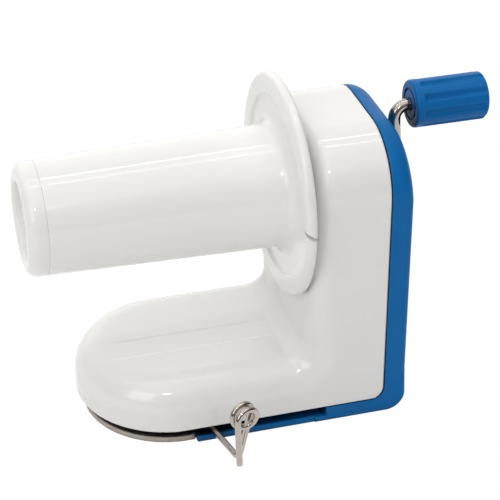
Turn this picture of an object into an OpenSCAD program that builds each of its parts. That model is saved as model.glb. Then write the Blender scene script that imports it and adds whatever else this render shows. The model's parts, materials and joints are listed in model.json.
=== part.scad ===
// Hand-cranked yarn ball winder with a circling spindle.
// +Z is up, +X points to the crank, -X to the spindle's tip, and the yarn guide is on the -Y side.
// The origin is on the underside, below the seam between the front and rear shells.
// Sizes are in millimetres.

/* [Housing] */
// Height of the housing
body_h = 120.5; // [114:0.5:130]
// Width of the housing
body_w = 75; // [72:1:84]
// Radius of the two top corners
arch_r = 25; // [20:0.5:28]
// Wall of the moulded shells
shell_wall = 2.4; // [2:0.1:2.8]
// Lean of the front wall, which is also the tilt of the rotor, in degrees
wall_lean = 2.5; // [2:0.25:3]
// Round on the front wall's upright edges
front_edge_r = 7; // [4:0.5:9]
// Depth of the rear shell behind the seam
rear_depth = 9.5; // [8:0.5:12]
// Round of the rear shell's lower back corner
rear_corner_r = 8; // [4:0.5:9]
// Round of the front shell's lower back corner
seam_corner_r = 5; // [3:0.5:8]
// Gap along the seams between the shells
seam_gap = 0.1; // [0.05:0.05:0.3]

/* [Foot and base] */
// Height of the foot's top face
foot_h = 27.5; // [24:0.5:30]
// Reach of the toe ahead of the seam
foot_reach = 117.5; // [112:0.5:125]
// Step from the upright's sides in to the foot's
foot_step = 0.1; // [0.1:0.05:0.3]
// Round along the foot's top edge
foot_edge_r = 8; // [5:0.5:10]
// Fillet between the foot and the front wall
foot_fillet_r = 7; // [4:0.5:10]
// Height of the seam above the underside
base_h = 7; // [6.5:0.1:8]
// Floor of the base tray
floor_t = 2.6; // [2:0.1:2.8]
// Reach of the tray ahead of the seam
tray_reach = 77; // [76.5:0.5:80]
// Distance of the foot's inner end ahead of the seam
foot_tail = 10; // [8:0.5:12]
// Distance of the slot's rear end ahead of the seam
slot_rear = 24; // [20:0.5:30]
// Distance of the slot's lip inside the housing's side
lip_inset = 0.8; // [0.4:0.1:1.2]
// Length of the side that runs on ahead of the slot's rear end, before the lip steps in
lip_tongue = 4.6; // [2:0.2:8]
// Thickness of the slot's lip
lip_t = 1.4; // [1:0.1:2]
// Width of the sunk floor behind the lip
sink_w = 12; // [10:0.5:14]
// Thickness of the sunk floor
sink_t = 1.2; // [1:0.1:1.6]
// Inset of the toe pad from the foot's outline
pad_inset = 2.9; // [2:0.1:3.5]
// Height of the toe pad's sole
sole_h = 2.3; // [2.2:0.1:4]
// Extra inset of the pad's neck above its sole
neck_inset = 3.6; // [1:0.1:4]
// Length of the clamp seat marked on the foot
seat_len = 62; // [50:1:66]
// Width of the clamp seat
seat_w = 11.5; // [8:0.5:16]
// Offset of the clamp seat towards the guide's side
seat_side = 5; // [0:0.5:8]
// Depth of the clamp seat
seat_depth = 0.35; // [0.2:0.05:0.5]

/* [Spindle] */
// Depth of the spindle's axis below the housing's top
spindle_drop = 30; // [26:0.5:34]
// Distance of the flange's middle ahead of the seam
flange_ahead = 33.2; // [32:0.2:36]
// Distance from the flange's middle back to the front wall, along the rotor
wall_gap = 4.6; // [4.5:0.1:5.2]
// Radius of the flange
flange_r = 44.2; // [40:0.1:45]
// Thickness of the flange's rim
flange_t = 4.2; // [4:0.1:4.4]
// Round on the rim's edges
rim_round = 1.4; // [0.6:0.1:1.8]
// Width of the raised rim
rim_w = 8; // [5:0.5:10]
// Depth of the dished face behind the rim
dish_depth = 1.2; // [0.6:0.1:1.6]
// Radius of the tube at the flange
root_r = 24.3; // [23.8:0.1:25]
// Fillet at the tube's root
root_fillet_r = 5; // [3:0.5:7]
// Radius of the tube at its tip
tip_r = 22.1; // [21:0.1:22.5]
// Reach of the tip ahead of the seam
spindle_reach = 135.6; // [132:0.1:142]
// Length of the tip cap outside the tube
cap_len = 7.6; // [7:0.1:12]
// Round on the tip's edge
tip_round = 4.2; // [2:0.1:4.4]
// Radius of the tip's open mouth
mouth_r = 15; // [14:0.1:16.8]
// Depth of the mouth
mouth_depth = 9; // [7:0.5:9.5]
// Wall of the tube and of the cap's spigot
tube_wall = 2.2; // [1.8:0.1:2.4]
// Length of the cap's spigot
spigot_len = 8; // [5:0.5:12]
// Distance of the tube's inner web ahead of the flange's middle
web_ahead = 16; // [15:0.5:20]
// Thickness of the web
web_t = 2.5; // [2:0.1:3.5]
// Length of the sleeve that runs on the axle
sleeve_len = 50; // [40:1:60]
// Wall of the sleeve
sleeve_wall = 2.3; // [1.6:0.1:3]
// Length of each spindle bush
bush_len = 8; // [6:0.5:12]
// Width of the yarn notch in the rim
notch_w = 1.4; // [1:0.1:2]
// Depth of the yarn notch
notch_depth = 4; // [2:0.5:6]
// Slant of the yarn notch across the rim, in degrees
notch_slant = 32; // [0:1:40]

/* [Gears] */
// Module of all gears
gear_m = 1; // [0.95:0.01:1.02]
// Teeth of the crank gear
crank_teeth = 32; // [30:2:34]
// Teeth of the rotor's pinion
pinion_teeth = 12; // [12:2:14]
// Teeth of the fixed sun gear
sun_teeth = 12; // [12:2:12]
// Teeth of the planet gear
planet_teeth = 14; // [14:2:14]
// Pressure angle, in degrees
press_angle = 25; // [22:0.5:26]
// Amount each tooth is thinned for backlash
tooth_thin = 0.25; // [0.2:0.01:0.32]
// Height of a tooth outside the pitch circle
tooth_add = 0.7; // [0.6:0.02:0.76]
// Depth of a tooth inside the pitch circle
tooth_ded = 1.25; // [1.2:0.01:1.3]
// Extra centre distance between crank gear and pinion
mesh_slack = 0.35; // [0.3:0.05:0.45]
// Face width of the crank gear
crank_gear_w = 5; // [4:0.5:5.5]
// Face width of the pinion
pinion_w = 8; // [7:0.5:9]
// Face width of the planet gear
planet_w = 2.9; // [2.5:0.1:3]
// Width of the ring gear
ring_w = 3.4; // [3.2:0.1:3.6]
// Rim of the ring gear outside its teeth
ring_rim = 2.1; // [1.8:0.1:2.3]

/* [Rotor] */
// Diameter of the rotor shaft and the spindle axle
shaft_d = 6; // [5:0.1:6.4]
// Thickness of the carrier's arm
carrier_t = 2.8; // [2.4:0.1:3]
// Radius of the carrier's hub
carrier_hub_r = 7; // [6:0.1:7.5]
// Step from the hub out to the carrier's boss
carrier_step = 1; // [0.5:0.1:1.2]
// Wall round the planet's pin in the carrier's arm
carrier_wall = 2.25; // [2:0.05:2.6]
// Diameter of the planet's pin
planet_pin_d = 4; // [3:0.1:5]
// Radius of the planet pin's head
planet_head_r = 3.2; // [2.8:0.1:3.6]
// Thickness of heads, clips and washers
clip_t = 0.8; // [0.6:0.1:1]
// Radius of the sun gear's inner flange
sun_flange_r = 11; // [9:0.5:12]
// Thickness of the sun gear's inner flange
sun_flange_t = 2; // [1.5:0.1:2.5]
// Wall of the plain bushes
bush_wall = 1.5; // [1.2:0.1:2]
// Thickness of the bearing plate
plate_t = 3; // [2.5:0.1:4]
// Width of the bearing plate
plate_w = 54; // [50:1:58]
// Margin of the plate above and below its posts
plate_margin = 1; // [0.5:0.1:1.2]
// Spacing of the plate's posts across the housing
post_pitch_y = 44; // [42:1:46]
// Height of the upper posts above the rotor
post_up = 12; // [10:0.5:14]
// Depth of the lower posts below the rotor
post_down = 8; // [7:0.5:9]
// Radius of the posts and screw bosses
post_r = 3.5; // [3:0.1:4]

/* [Crank] */
// Diameter of the crank rod
rod_d = 5; // [4.5:0.1:5.5]
// Distance from the crank's axis to the grip's axis
arm_len = 46.1; // [44:0.1:50]
// Direction of the arm at rest, from +Y towards +Z, in degrees
arm_angle = 78; // [0:1:180]
// Distance of the arm's middle behind the rear shell
arm_behind = 7.4; // [6.2:0.1:10]
// Bend at the axle's end, along the rod's middle
hub_bend_r = 5; // [4:0.1:5]
// Bend at the grip's end, along the rod's middle
grip_bend_r = 5.5; // [5:0.5:9]
// Gap between that bend and the grip
grip_gap = 1.2; // [0.4:0.1:1.5]
// Diameter of the grip
grip_d = 19.2; // [18:0.2:24]
// Length of the grip
grip_len = 30.6; // [28:0.1:40]
// Number of flutes along the grip
flute_n = 9; // [8:1:16]
// Radius of a flute
flute_r = 2; // [1:0.1:3]
// Turn of the first flute from the top, in degrees
flute_turn = 11.5; // [0:0.5:40]
// Depth of a flute
flute_depth = 0.8; // [0.4:0.1:1]
// Plain band at the grip's inner end
grip_band = 4; // [2:0.5:6]
// Round on the grip's edges
grip_round = 1.6; // [0.5:0.1:2]
// Outer radius of the ring groove in the grip's inner end
groove_r = 6.5; // [5:0.1:7]
// Width of that groove
groove_w = 0.75; // [0.5:0.05:1]
// Depth of that groove
groove_depth = 0.35; // [0.2:0.05:0.5]
// Radius of the pocket in the grip's outer end
pocket_r = 6; // [5.5:0.1:7]
// Depth of that pocket
pocket_depth = 8; // [7:0.5:12]
// Thickness of the grip's end disc
grip_cap_t = 2.5; // [2:0.1:4]
// Gap between the rod's end and that disc
rod_end_gap = 1; // [0.6:0.1:1.5]
// Gap round the retaining ring in the pocket
retainer_gap = 1; // [0.6:0.1:1.4]
// Radius of the crank gear's hub
gear_hub_r = 6; // [5:0.1:7]
// Length of the crank gear's hub behind the teeth
gear_hub_len = 5; // [4:0.5:7]
// Diameter of the pin through that hub
gear_pin_d = 2; // [1.5:0.1:2.5]
// Radius of the boss round the crank's front bush
front_boss_r = 7; // [6.5:0.1:8]
// Gap between the front wall and the front bush
front_bush_gap = 0.6; // [0.5:0.1:1.5]
// Distance of the rear bush's front end behind the seam
rear_bush_front = 1.2; // [1:0.1:2]

/* [Yarn guide] */
// Diameter of the guide's wire
wire_d = 2.5; // [2:0.1:2.6]
// Distance of the guide's pivot from the tray's front edge
pivot_inset = 4.6; // [4.6:0.1:6]
// Distance of the pivot from the housing's side
pivot_edge = 10.5; // [9.5:0.5:13.5]
// Angle of the arm at rest, from -Y towards +X, in degrees
guide_angle = 13; // [0:1:20]
// Distance from the pivot to the foot of the wire's first leg
guide_reach = 30; // [27:0.5:34]
// Height of the arm above the tray's floor
guide_lift = 1.9; // [1.8:0.1:2.2]
// Height of the eye's middle above the arm
eye_lift = 21.2; // [18:0.1:26]
// Sideways offset of the eye from the arm
eye_side = 0.9; // [0:0.1:3]
// Radius of the eye along the wire's middle
eye_r = 4.45; // [4:0.05:5]
// Advance of the eye's coil in one turn
eye_pitch = 3.9; // [3.5:0.1:4.5]
// Height of the free leg's end above the underside
leg_end = 6; // [3:0.1:8]
// Sideways drift of the free leg on its way down
leg_drift = 0.8; // [0:0.1:1.5]
// Bend at the foot of the first leg
guide_bend_r = 2.6; // [2:0.1:4]
// Diameter of the pivot post
pivot_d = 4; // [3:0.1:4.4]
// Gap between the pivot's bore and the wire's end
wire_seat = 0.8; // [0.6:0.1:1.2]
// Radius of the guide's collar
collar_r = 4.2; // [3.9:0.1:4.2]
// Height of the guide's collar
collar_h = 5.5; // [5:0.1:8]

/* [Screws and fits] */
// Diameter of the tapping screws
screw_d = 3; // [2.6:0.1:3.2]
// Diameter of the screws' heads
head_d = 5.6; // [5:0.1:6]
// Height of the screws' heads
head_h = 2; // [1.4:0.1:2.2]
// Length of the screws' shanks
shank_len = 10; // [8:0.5:12]
// Depth of the shell screws' heads below the rear face
head_sink = 2; // [1:0.1:2.4]
// Radius of the rear shell's screw bosses
rear_boss_r = 4.5; // [4:0.1:5]
// Distance of the upper shell screws from the housing's sides
upper_screw_edge = 23.5; // [20:0.5:26]
// Depth of the upper shell screws below the housing's top
upper_screw_drop = 9; // [8:0.5:11]
// Distance of the lower shell screws from the housing's sides
lower_screw_edge = 8; // [7:0.5:9]
// Height of the lower shell screws above the foot
lower_screw_rise = 7; // [5:0.5:9]
// Distance of the toe screw from the toe's front
toe_screw_inset = 18.75; // [16:0.25:24]
// Distance of the tray screw from the tray's front edge
tray_screw_inset = 30.8; // [26:0.2:36]
// Distance of the tray screw from the housing's side
tray_screw_edge = 15; // [13:0.5:18]
// Diameter of the screw in the axle's end
axle_screw_d = 2.4; // [2:0.1:2.8]
// Radial clearance of turning pieces
run_gap = 0.05; // [0.02:0.01:0.1]
// Radial clearance of pressed pieces
seat_gap = 0.02; // [0.01:0.01:0.05]
// Clearance at the ends of turning pieces
end_gap = 0.3; // [0.2:0.05:0.4]
// Clearance round screws' shanks and heads
screw_gap = 0.25; // [0.1:0.05:0.4]

/* [Hidden] */
$fn = 64;

white = "#f4f3ee";
blue = "#1f6fb8";
steel = "#c8c6c2";
cream = "#e6dfcf";
nylon = "#eae6da";
bronze = "#b98a4b";

far = 200;
nudge = 1;
half_w = body_w / 2;
spindle_z = body_h - spindle_drop;
pivot_ahead = tray_reach - pivot_inset;
pivot_side = half_w - pivot_edge;
toe_c = foot_reach - half_w;
shaft_r = shaft_d / 2;
rod_r = rod_d / 2;
wire_r = wire_d / 2;
screw_r = screw_d / 2;
head_r = head_d / 2;

// Stations along the rotor's axis, measured back from the flange's middle
wall_in = wall_gap + shell_wall;
sun_flange_end = wall_in + sun_flange_t;
pinion_s = sun_flange_end + end_gap;
bush_flange_s = pinion_s + pinion_w + end_gap;
plate_s = bush_flange_s + clip_t;
clip_s = plate_s + plate_t + end_gap;
shaft_end = clip_s + 2 * clip_t;

// Gear train: sun, planet and ring, then crank gear and pinion
ring_teeth = sun_teeth + 2 * planet_teeth;
pinion_r = gear_m * pinion_teeth / 2;
crank_gear_r = gear_m * crank_teeth / 2;
sun_r = gear_m * sun_teeth / 2;
planet_r = gear_m * planet_teeth / 2;
ring_r = gear_m * ring_teeth / 2;
ring_out = ring_r + tooth_ded + ring_rim;
ring_back = flange_t / 2;
ring_mid = ring_back - ring_w / 2;
mesh_s = ring_mid * cos(wall_lean) + ring_r * sin(wall_lean);
ring_reach = ring_r * cos(wall_lean) - ring_mid * sin(wall_lean);
planet_c = (sun_r + planet_r + ring_reach - planet_r) / 2;
planet_s = mesh_s - planet_w / 2;
carrier_back = planet_s - end_gap;
carrier_front = carrier_back - carrier_t;
sun_front = carrier_back + end_gap;
sun_teeth_end = planet_s + planet_w + end_gap;
neck_r = sun_r + tooth_add + seat_gap;
shaft_front = carrier_front + clip_t / 2;

// Places along X of the crank's pieces
gear_x = (pinion_s + pinion_w / 2) * cos(wall_lean) - pinion_r * sin(wall_lean) - flange_ahead;
crank_z = spindle_z - (gear_x + flange_ahead) * tan(wall_lean) - pinion_r / cos(wall_lean)
  - crank_gear_r - mesh_slack;
gear_front = gear_x - crank_gear_w / 2;
gear_back = gear_x + crank_gear_w / 2;
hub_end = gear_back + gear_hub_len;
washer_x = gear_front - clip_t;
boss_end = washer_x - end_gap;
rod_bush_r = rod_r + run_gap + bush_wall;
axle_front = wall_x(crank_z + rod_bush_r) + shell_wall / cos(wall_lean) + front_bush_gap;
rear_in = rear_depth - shell_wall;
arm_x = rear_depth + arm_behind;
grip_x = arm_x + grip_bend_r + grip_gap;
grip_end = grip_x + grip_len;
pocket_x = grip_end - pocket_depth;
retainer_x = pocket_x + end_gap;
cap_x = grip_end - grip_cap_t;

// Spindle, measured forward from the flange's middle
tip_h = spindle_reach - flange_ahead;
cap_h = tip_h - cap_len;
dish_h = flange_t / 2 - dish_depth;
sleeve_end = web_ahead + sleeve_len;
axle_bush_r = shaft_r + run_gap + bush_wall;
sleeve_r = axle_bush_r + sleeve_wall;
hub_front = web_ahead - end_gap;
axle_back = shaft_r / 2 - carrier_front;
axle_end = sleeve_end + end_gap;
axle_screw_r = axle_screw_d / 2;

// Screw places, as [y, z] on the rear shell and [x, y] on the underside
upper_screw = [half_w - upper_screw_edge, body_h - upper_screw_drop];
lower_screw = [half_w - lower_screw_edge, foot_h + lower_screw_rise];
shell_screw_at = [for (side = [-1, 1], at = [upper_screw, lower_screw]) [side * at[0], at[1]]];
head_seat = rear_depth - head_h - head_sink;
toe_screw_at = [toe_screw_inset - foot_reach, 0];
tray_screw_at = [tray_screw_inset - tray_reach, half_w - tray_screw_edge];
post_at = [for (side = [-1, 1], z = [post_up, -post_down]) [side * post_pitch_y / 2, z]];
guide_z = floor_t + guide_lift;
collar_z = floor_t + end_gap;
post_top = collar_z + collar_h + end_gap + 2 * clip_t;

// X of the front wall's outer face at a height
function wall_x(z) = wall_gap / cos(wall_lean) - flange_ahead + (z - spindle_z) * tan(wall_lean);
// Outer radius of the spindle at a distance ahead of the flange's middle
function tube_r(h) = root_r + (tip_r - root_r) * (h - dish_h) / (tip_h - dish_h);

module rotor_frame() {
  translate([-flange_ahead, 0, spindle_z])
    rotate([0, wall_lean, 0])
      children();
}

module spindle_frame() {
  translate([-flange_ahead, 0, spindle_z])
    children();
}

module arm_frame() {
  translate([0, 0, crank_z])
    rotate([arm_angle - 90, 0, 0])
      children();
}

module guide_frame() {
  translate([-pivot_ahead, -pivot_side, 0])
    rotate([0, 0, guide_angle])
      children();
}

// Round bar along X
module bar(r, x0, x1) {
  translate([x0, 0, 0])
    rotate([0, 90, 0])
      cylinder(r = r, h = x1 - x0);
}

// Round tube along X
module sleeve(r_out, r_in, x0, x1) {
  difference() {
    bar(r_out, x0, x1);
    bar(r_in, x0 - nudge, x1 + nudge);
  }
}

// Section drawn in Y and Z, pushed along X
module push_x(x0, x1) {
  translate([x0, 0, 0])
    rotate([90, 0, 90])
      linear_extrude(x1 - x0)
        children();
}

// Section drawn in X and Z, pushed along Y, centred
module push_y(w) {
  rotate([90, 0, 0])
    linear_extrude(w, center = true)
      children();
}

// Gear section in the plane across X, with a tooth pointing down
module gear_x_section(x0, x1) {
  translate([x0, 0, 0])
    rotate([0, 90, 0])
      linear_extrude(x1 - x0)
        children();
}

function polar(r, a) = [r * cos(a), r * sin(a)];
function involute(rb, r) = let (k = max(r / rb, 1)) sqrt(k * k - 1) * 180 / PI - acos(1 / k);
function half_tooth(n, thin, r) =
  let (rp = gear_m * n / 2, rb = rp * cos(press_angle))
  (PI * gear_m / 2 - thin) / (2 * rp) * 180 / PI + involute(rb, rp) - involute(rb, r);
// Outline of a gear with n teeth: each flank is an involute from the base circle to the tip
function gear_outline(n, add, ded, thin, steps = 4) =
  let (
    rp = gear_m * n / 2,
    root = rp - ded,
    start = max(root, rp * cos(press_angle)),
    flank = [for (j = [0:steps]) start + (rp + add - start) * j / steps],
    radii = root < start ? concat([root], flank) : flank,
    last = len(radii) - 1
  )
  [for (i = [0:n - 1], j = [0:2 * last + 1])
    let (up = j <= last, r = radii[up ? j : 2 * last + 1 - j])
    polar(r, 360 / n * i + (up ? -1 : 1) * half_tooth(n, thin, r))];

module gear_section(n) {
  polygon(gear_outline(n, tooth_add, tooth_ded, tooth_thin));
}

module screw(length) {
  cylinder(r = head_r, h = head_h);
  translate([0, 0, -length])
    cylinder(r = screw_r, h = length + head_h / 2);
}

// Housing section across X: straight sides and two round top corners
module arch_section(inset, z0) {
  w = half_w - inset;
  top = body_h - inset;
  r = arch_r - inset;
  translate([-w, z0])
    square([2 * w, top - r - z0]);
  translate([r - w, z0])
    square([2 * (w - r), top - z0]);
  for (side = [-1, 1])
    translate([side * (w - r), top - r])
      circle(r);
}

// Plan of the upright behind its leaning wall, with round front edges
module upright_plan(inset) {
  w = half_w - inset;
  r = front_edge_r - inset;
  x0 = wall_gap + inset;
  translate([x0 + r, -w])
    square([far, 2 * w]);
  translate([x0, r - w])
    square([far, 2 * (w - r)]);
  for (side = [-1, 1])
    translate([x0 + r, side * (w - r)])
      circle(r);
}

module upright(inset, x_back, z0) {
  intersection() {
    push_x(-far, x_back)
      arch_section(inset, z0);
    rotor_frame()
      translate([0, 0, -far])
        linear_extrude(2 * far)
          upright_plan(inset);
  }
}

// Half of the foot's section, from its middle outwards
module foot_half(inset, z0) {
  w = half_w - foot_step - inset;
  top = foot_h - inset;
  r = foot_edge_r - inset;
  translate([0, z0])
    square([w, top - r - z0]);
  translate([0, z0])
    square([w - r, top - z0]);
  translate([w - r, top - r])
    circle(r);
}

module foot(inset, z0) {
  translate([-toe_c, 0, 0])
    rotate([0, 0, 90])
      rotate_extrude(angle = 180)
        foot_half(inset, z0);
  push_x(-toe_c, -foot_tail) {
    foot_half(inset, z0);
    mirror([1, 0])
      foot_half(inset, z0);
  }
}

// Concave fillet between the foot's top face and the front wall
module foot_fillet() {
  crease = wall_x(foot_h);
  centre = crease + foot_fillet_r * (tan(wall_lean) - 1 / cos(wall_lean));
  push_y(body_w - 2 * foot_edge_r)
    difference() {
      polygon([
        [centre, foot_h - nudge],
        [centre, foot_h],
        [centre + foot_fillet_r * cos(wall_lean), foot_h + foot_fillet_r * (1 - sin(wall_lean))],
        [crease + foot_fillet_r, foot_h + foot_fillet_r * (1 - sin(wall_lean))],
        [crease + foot_fillet_r, foot_h - nudge]
      ]);
      translate([centre, foot_h + foot_fillet_r])
        circle(foot_fillet_r);
    }
}

// The corner that the rear shell fills below the front shell's round lower back corner
module seam_corner(gap) {
  r = seam_corner_r;
  push_y(body_w + nudge)
    difference() {
      translate([-r, base_h - nudge])
        square([r + nudge, r + nudge]);
      translate([-r, base_h + r])
        circle(r + gap);
      translate([-r - nudge, base_h + r])
        square([r + 2 * nudge, r]);
    }
}

module front_bosses() {
  intersection() {
    upright(shell_wall / 2, -seam_gap, base_h);
    union() {
      for (at = shell_screw_at)
        translate([0, at[0], at[1]])
          bar(post_r, -far, -seam_gap);
      translate([0, 0, crank_z])
        bar(front_boss_r, -far, boss_end);
      rotor_frame()
        for (at = post_at)
          translate([0, at[0], at[1]])
            bar(post_r, 0, plate_s);
    }
  }
  for (at = [toe_screw_at, tray_screw_at])
    translate([at[0], at[1], at == toe_screw_at ? base_h : floor_t + seam_gap])
      cylinder(r = post_r, h = foot_h - shell_wall / 2 - (at == toe_screw_at ? base_h : floor_t + seam_gap));
}

module front_shell() {
  color(white)
    difference() {
      union() {
        difference() {
          union() {
            upright(0, 0, base_h);
            foot(0, base_h);
            foot_fillet();
          }
          upright(shell_wall, nudge, 0);
          foot(shell_wall, 0);
        }
        front_bosses();
      }
      seam_corner(0);
      rotor_frame()
        bar(neck_r + seat_gap, 0, wall_in + nudge);
      translate([0, 0, crank_z])
        bar(rod_bush_r + seat_gap, axle_front - end_gap, boss_end + nudge);
      for (at = shell_screw_at)
        translate([0, at[0], at[1]])
          bar(screw_r + seat_gap, head_seat - shank_len - nudge, nudge);
      rotor_frame()
        for (at = post_at)
          translate([0, at[0], at[1]])
            bar(screw_r + seat_gap, plate_s + plate_t - shank_len - nudge, plate_s + nudge);
      for (at = [toe_screw_at, tray_screw_at])
        translate([at[0], at[1], 0])
          cylinder(r = screw_r + seat_gap, h = shank_len + head_h + nudge);
      translate([wall_x(foot_h) - foot_fillet_r - seat_len, -seat_side - seat_w / 2, foot_h - seat_depth])
        cube([seat_len, seat_w, nudge]);
    }
}

// Side view of the rear shell's back, with a round lower corner
module rear_side() {
  translate([seam_gap, rear_corner_r])
    square([rear_depth - seam_gap, body_h]);
  translate([seam_gap, 0])
    square([rear_depth - rear_corner_r, body_h]);
  translate([rear_depth - rear_corner_r, rear_corner_r])
    circle(rear_corner_r);
}

module tray() {
  difference() {
    translate([-tray_reach, -half_w, 0])
      cube([tray_reach + 2 * seam_gap, body_w, base_h - seam_gap]);
    translate([-tray_reach - nudge, shell_wall - half_w, floor_t])
      cube([tray_reach + 2 * nudge, body_w - 2 * shell_wall, base_h]);
    translate([-tray_reach - nudge, -half_w - nudge, floor_t])
      cube([tray_reach + nudge - slot_rear, half_w, base_h]);
    translate([-tray_reach - nudge, -half_w - nudge, -nudge])
      cube([tray_reach + nudge - slot_rear - lip_tongue, lip_inset + nudge, base_h]);
    translate([lip_t - tray_reach, lip_inset + lip_t - half_w, sink_t])
      cube([tray_reach - lip_t - slot_rear, sink_w, base_h]);
  }
}

module rear_shell() {
  color(blue)
    difference() {
      union() {
        difference() {
          union() {
            intersection() {
              push_x(0, rear_depth)
                arch_section(0, 0);
              push_y(body_w + nudge)
                rear_side();
            }
            intersection() {
              seam_corner(seam_gap);
              translate([-seam_corner_r, -half_w, base_h - 2 * seam_gap])
                cube([seam_corner_r + 2 * seam_gap, body_w, seam_corner_r]);
            }
          }
          push_x(-far, rear_in)
            arch_section(shell_wall, floor_t);
        }
        tray();
        intersection() {
          push_x(seam_gap, rear_depth)
            arch_section(shell_wall / 2, floor_t);
          union() {
            for (at = shell_screw_at)
              translate([0, at[0], at[1]])
                bar(rear_boss_r, seam_gap, rear_depth);
            translate([0, 0, crank_z])
              bar(rod_bush_r + shell_wall, rear_bush_front, rear_depth);
          }
        }
        translate([-pivot_ahead, -pivot_side, sink_t / 2]) {
          cylinder(r = collar_r, h = floor_t - sink_t / 2);
          cylinder(r = pivot_d / 2, h = post_top - sink_t / 2);
        }
      }
      translate([0, 0, crank_z])
        bar(rod_bush_r + seat_gap, 0, rear_depth + nudge);
      for (at = shell_screw_at)
        translate([0, at[0], at[1]]) {
          bar(screw_r + screw_gap, -nudge, rear_depth);
          bar(head_r + screw_gap, head_seat, rear_depth + nudge);
        }
      translate([tray_screw_at[0], tray_screw_at[1], -nudge]) {
        cylinder(r = screw_r + screw_gap, h = far);
        cylinder(r = head_r + screw_gap, h = nudge + floor_t / 2);
      }
    }
}

// Round-ended block of the toe pad, set in from the foot's outline
module pad_block(inset, z0, z1) {
  r = half_w - inset;
  translate([-toe_c, 0, z0])
    cylinder(r = r, h = z1 - z0);
  translate([-toe_c, -r, z0])
    cube([toe_c - tray_reach, 2 * r, z1 - z0]);
}

module toe_pad() {
  color(cream)
    difference() {
      union() {
        pad_block(pad_inset, 0, sole_h);
        pad_block(pad_inset + neck_inset, sole_h - nudge, base_h);
      }
      translate([-tray_reach - seam_gap, -half_w, -nudge])
        cube([body_w, body_w, base_h + 2 * nudge]);
      translate([toe_screw_at[0], toe_screw_at[1], -nudge]) {
        cylinder(r = screw_r + screw_gap, h = far);
        cylinder(r = head_r + screw_gap, h = nudge + head_h + seam_gap);
      }
    }
}

module bearing_plate() {
  low = post_down + post_r + plate_margin;
  high = post_up + post_r + plate_margin;
  color(nylon)
    rotor_frame()
      difference() {
        translate([plate_s, -plate_w / 2, -low])
          cube([plate_t, plate_w, low + high]);
        bar(axle_bush_r + seat_gap, 0, far);
        for (at = post_at)
          translate([0, at[0], at[1]])
            bar(screw_r + screw_gap, 0, far);
      }
}

module rotor_bush() {
  color(bronze)
    rotor_frame()
      difference() {
        union() {
          bar(axle_bush_r, bush_flange_s + clip_t / 2, plate_s + plate_t);
          bar(axle_bush_r + bush_wall, bush_flange_s, plate_s);
        }
        bar(shaft_r + run_gap, 0, far);
      }
}

module sun_gear() {
  color(nylon)
    rotor_frame()
      difference() {
        union() {
          gear_x_section(sun_front, sun_teeth_end + nudge)
            gear_section(sun_teeth);
          bar(neck_r, sun_teeth_end, wall_in + nudge);
          bar(sun_flange_r, wall_in, sun_flange_end);
        }
        bar(shaft_r + run_gap, sun_front - nudge, far);
      }
}

module crank_bush_front() {
  color(bronze)
    translate([0, 0, crank_z])
      sleeve(rod_bush_r, rod_r + run_gap, axle_front, boss_end);
}

module crank_bush_rear() {
  color(bronze)
    translate([0, 0, crank_z])
      difference() {
        union() {
          bar(rod_bush_r, rear_bush_front, rear_depth + clip_t / 2);
          bar(rod_bush_r + bush_wall, rear_depth, rear_depth + clip_t);
        }
        bar(rod_r + run_gap, 0, far);
      }
}

module shell_screws() {
  color(steel)
    for (at = shell_screw_at)
      translate([head_seat, at[0], at[1]])
        rotate([0, 90, 0])
          screw(shank_len);
}

module plate_screws() {
  color(steel)
    rotor_frame()
      for (at = post_at)
        translate([plate_s + plate_t, at[0], at[1]])
          rotate([0, 90, 0])
            screw(shank_len);
}

module base_screws() {
  color(steel) {
    translate([toe_screw_at[0], toe_screw_at[1], head_h + seam_gap])
      rotate([180, 0, 0])
        screw(shank_len);
    translate([tray_screw_at[0], tray_screw_at[1], floor_t / 2])
      intersection() {
        rotate([180, 0, 0])
          screw(shank_len);
        translate([-head_d, -head_d, seam_gap - floor_t / 2])
          cube([2 * head_d, 2 * head_d, far]);
      }
  }
}

module guide_clip() {
  color(steel)
    translate([-pivot_ahead, -pivot_side, collar_z + collar_h + end_gap])
      difference() {
        cylinder(r = pivot_d / 2 + bush_wall, h = clip_t);
        translate([0, 0, -nudge])
          cylinder(r = pivot_d / 2 + seat_gap, h = far);
      }
}

// Quarter bend of the rod in the X-Z plane, from one angle to the next
module bend(r, centre_x, centre_z, from) {
  translate([centre_x, 0, centre_z])
    rotate([90, 0, 0])
      rotate([0, 0, from])
        rotate_extrude(angle = 90)
          translate([r, 0])
            circle(rod_r);
}

module crank_rod() {
  color(steel)
    arm_frame()
      difference() {
        union() {
          bar(rod_r, axle_front + end_gap, arm_x - hub_bend_r);
          bend(hub_bend_r, arm_x - hub_bend_r, hub_bend_r, -90);
          translate([arm_x, 0, hub_bend_r])
            cylinder(r = rod_r, h = arm_len - hub_bend_r - grip_bend_r);
          bend(grip_bend_r, arm_x + grip_bend_r, arm_len - grip_bend_r, 90);
          translate([0, 0, arm_len])
            bar(rod_r, arm_x + grip_bend_r, cap_x - rod_end_gap);
        }
        gear_pin_hole();
      }
}

// Cross hole for the pin that drives the crank gear
module gear_pin_hole() {
  translate([gear_back + gear_hub_len / 2, 0, -far / 2])
    cylinder(r = gear_pin_d / 2 + seat_gap, h = far);
}

module crank_gear() {
  web_hole_r = (crank_gear_r - tooth_ded - gear_hub_r) / 3;
  web_hole_c = (crank_gear_r - tooth_ded + gear_hub_r) / 2;
  color(nylon)
    translate([0, 0, crank_z])
      difference() {
        union() {
          gear_x_section(gear_front, gear_back)
            gear_section(crank_teeth);
          bar(gear_hub_r, gear_front, hub_end);
        }
        bar(rod_r + seat_gap, -far, far);
        for (a = [0:60:300])
          rotate([a, 0, 0])
            translate([0, 0, web_hole_c])
              bar(web_hole_r, -far, far);
        rotate([arm_angle - 90, 0, 0])
          gear_pin_hole();
      }
}

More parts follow.
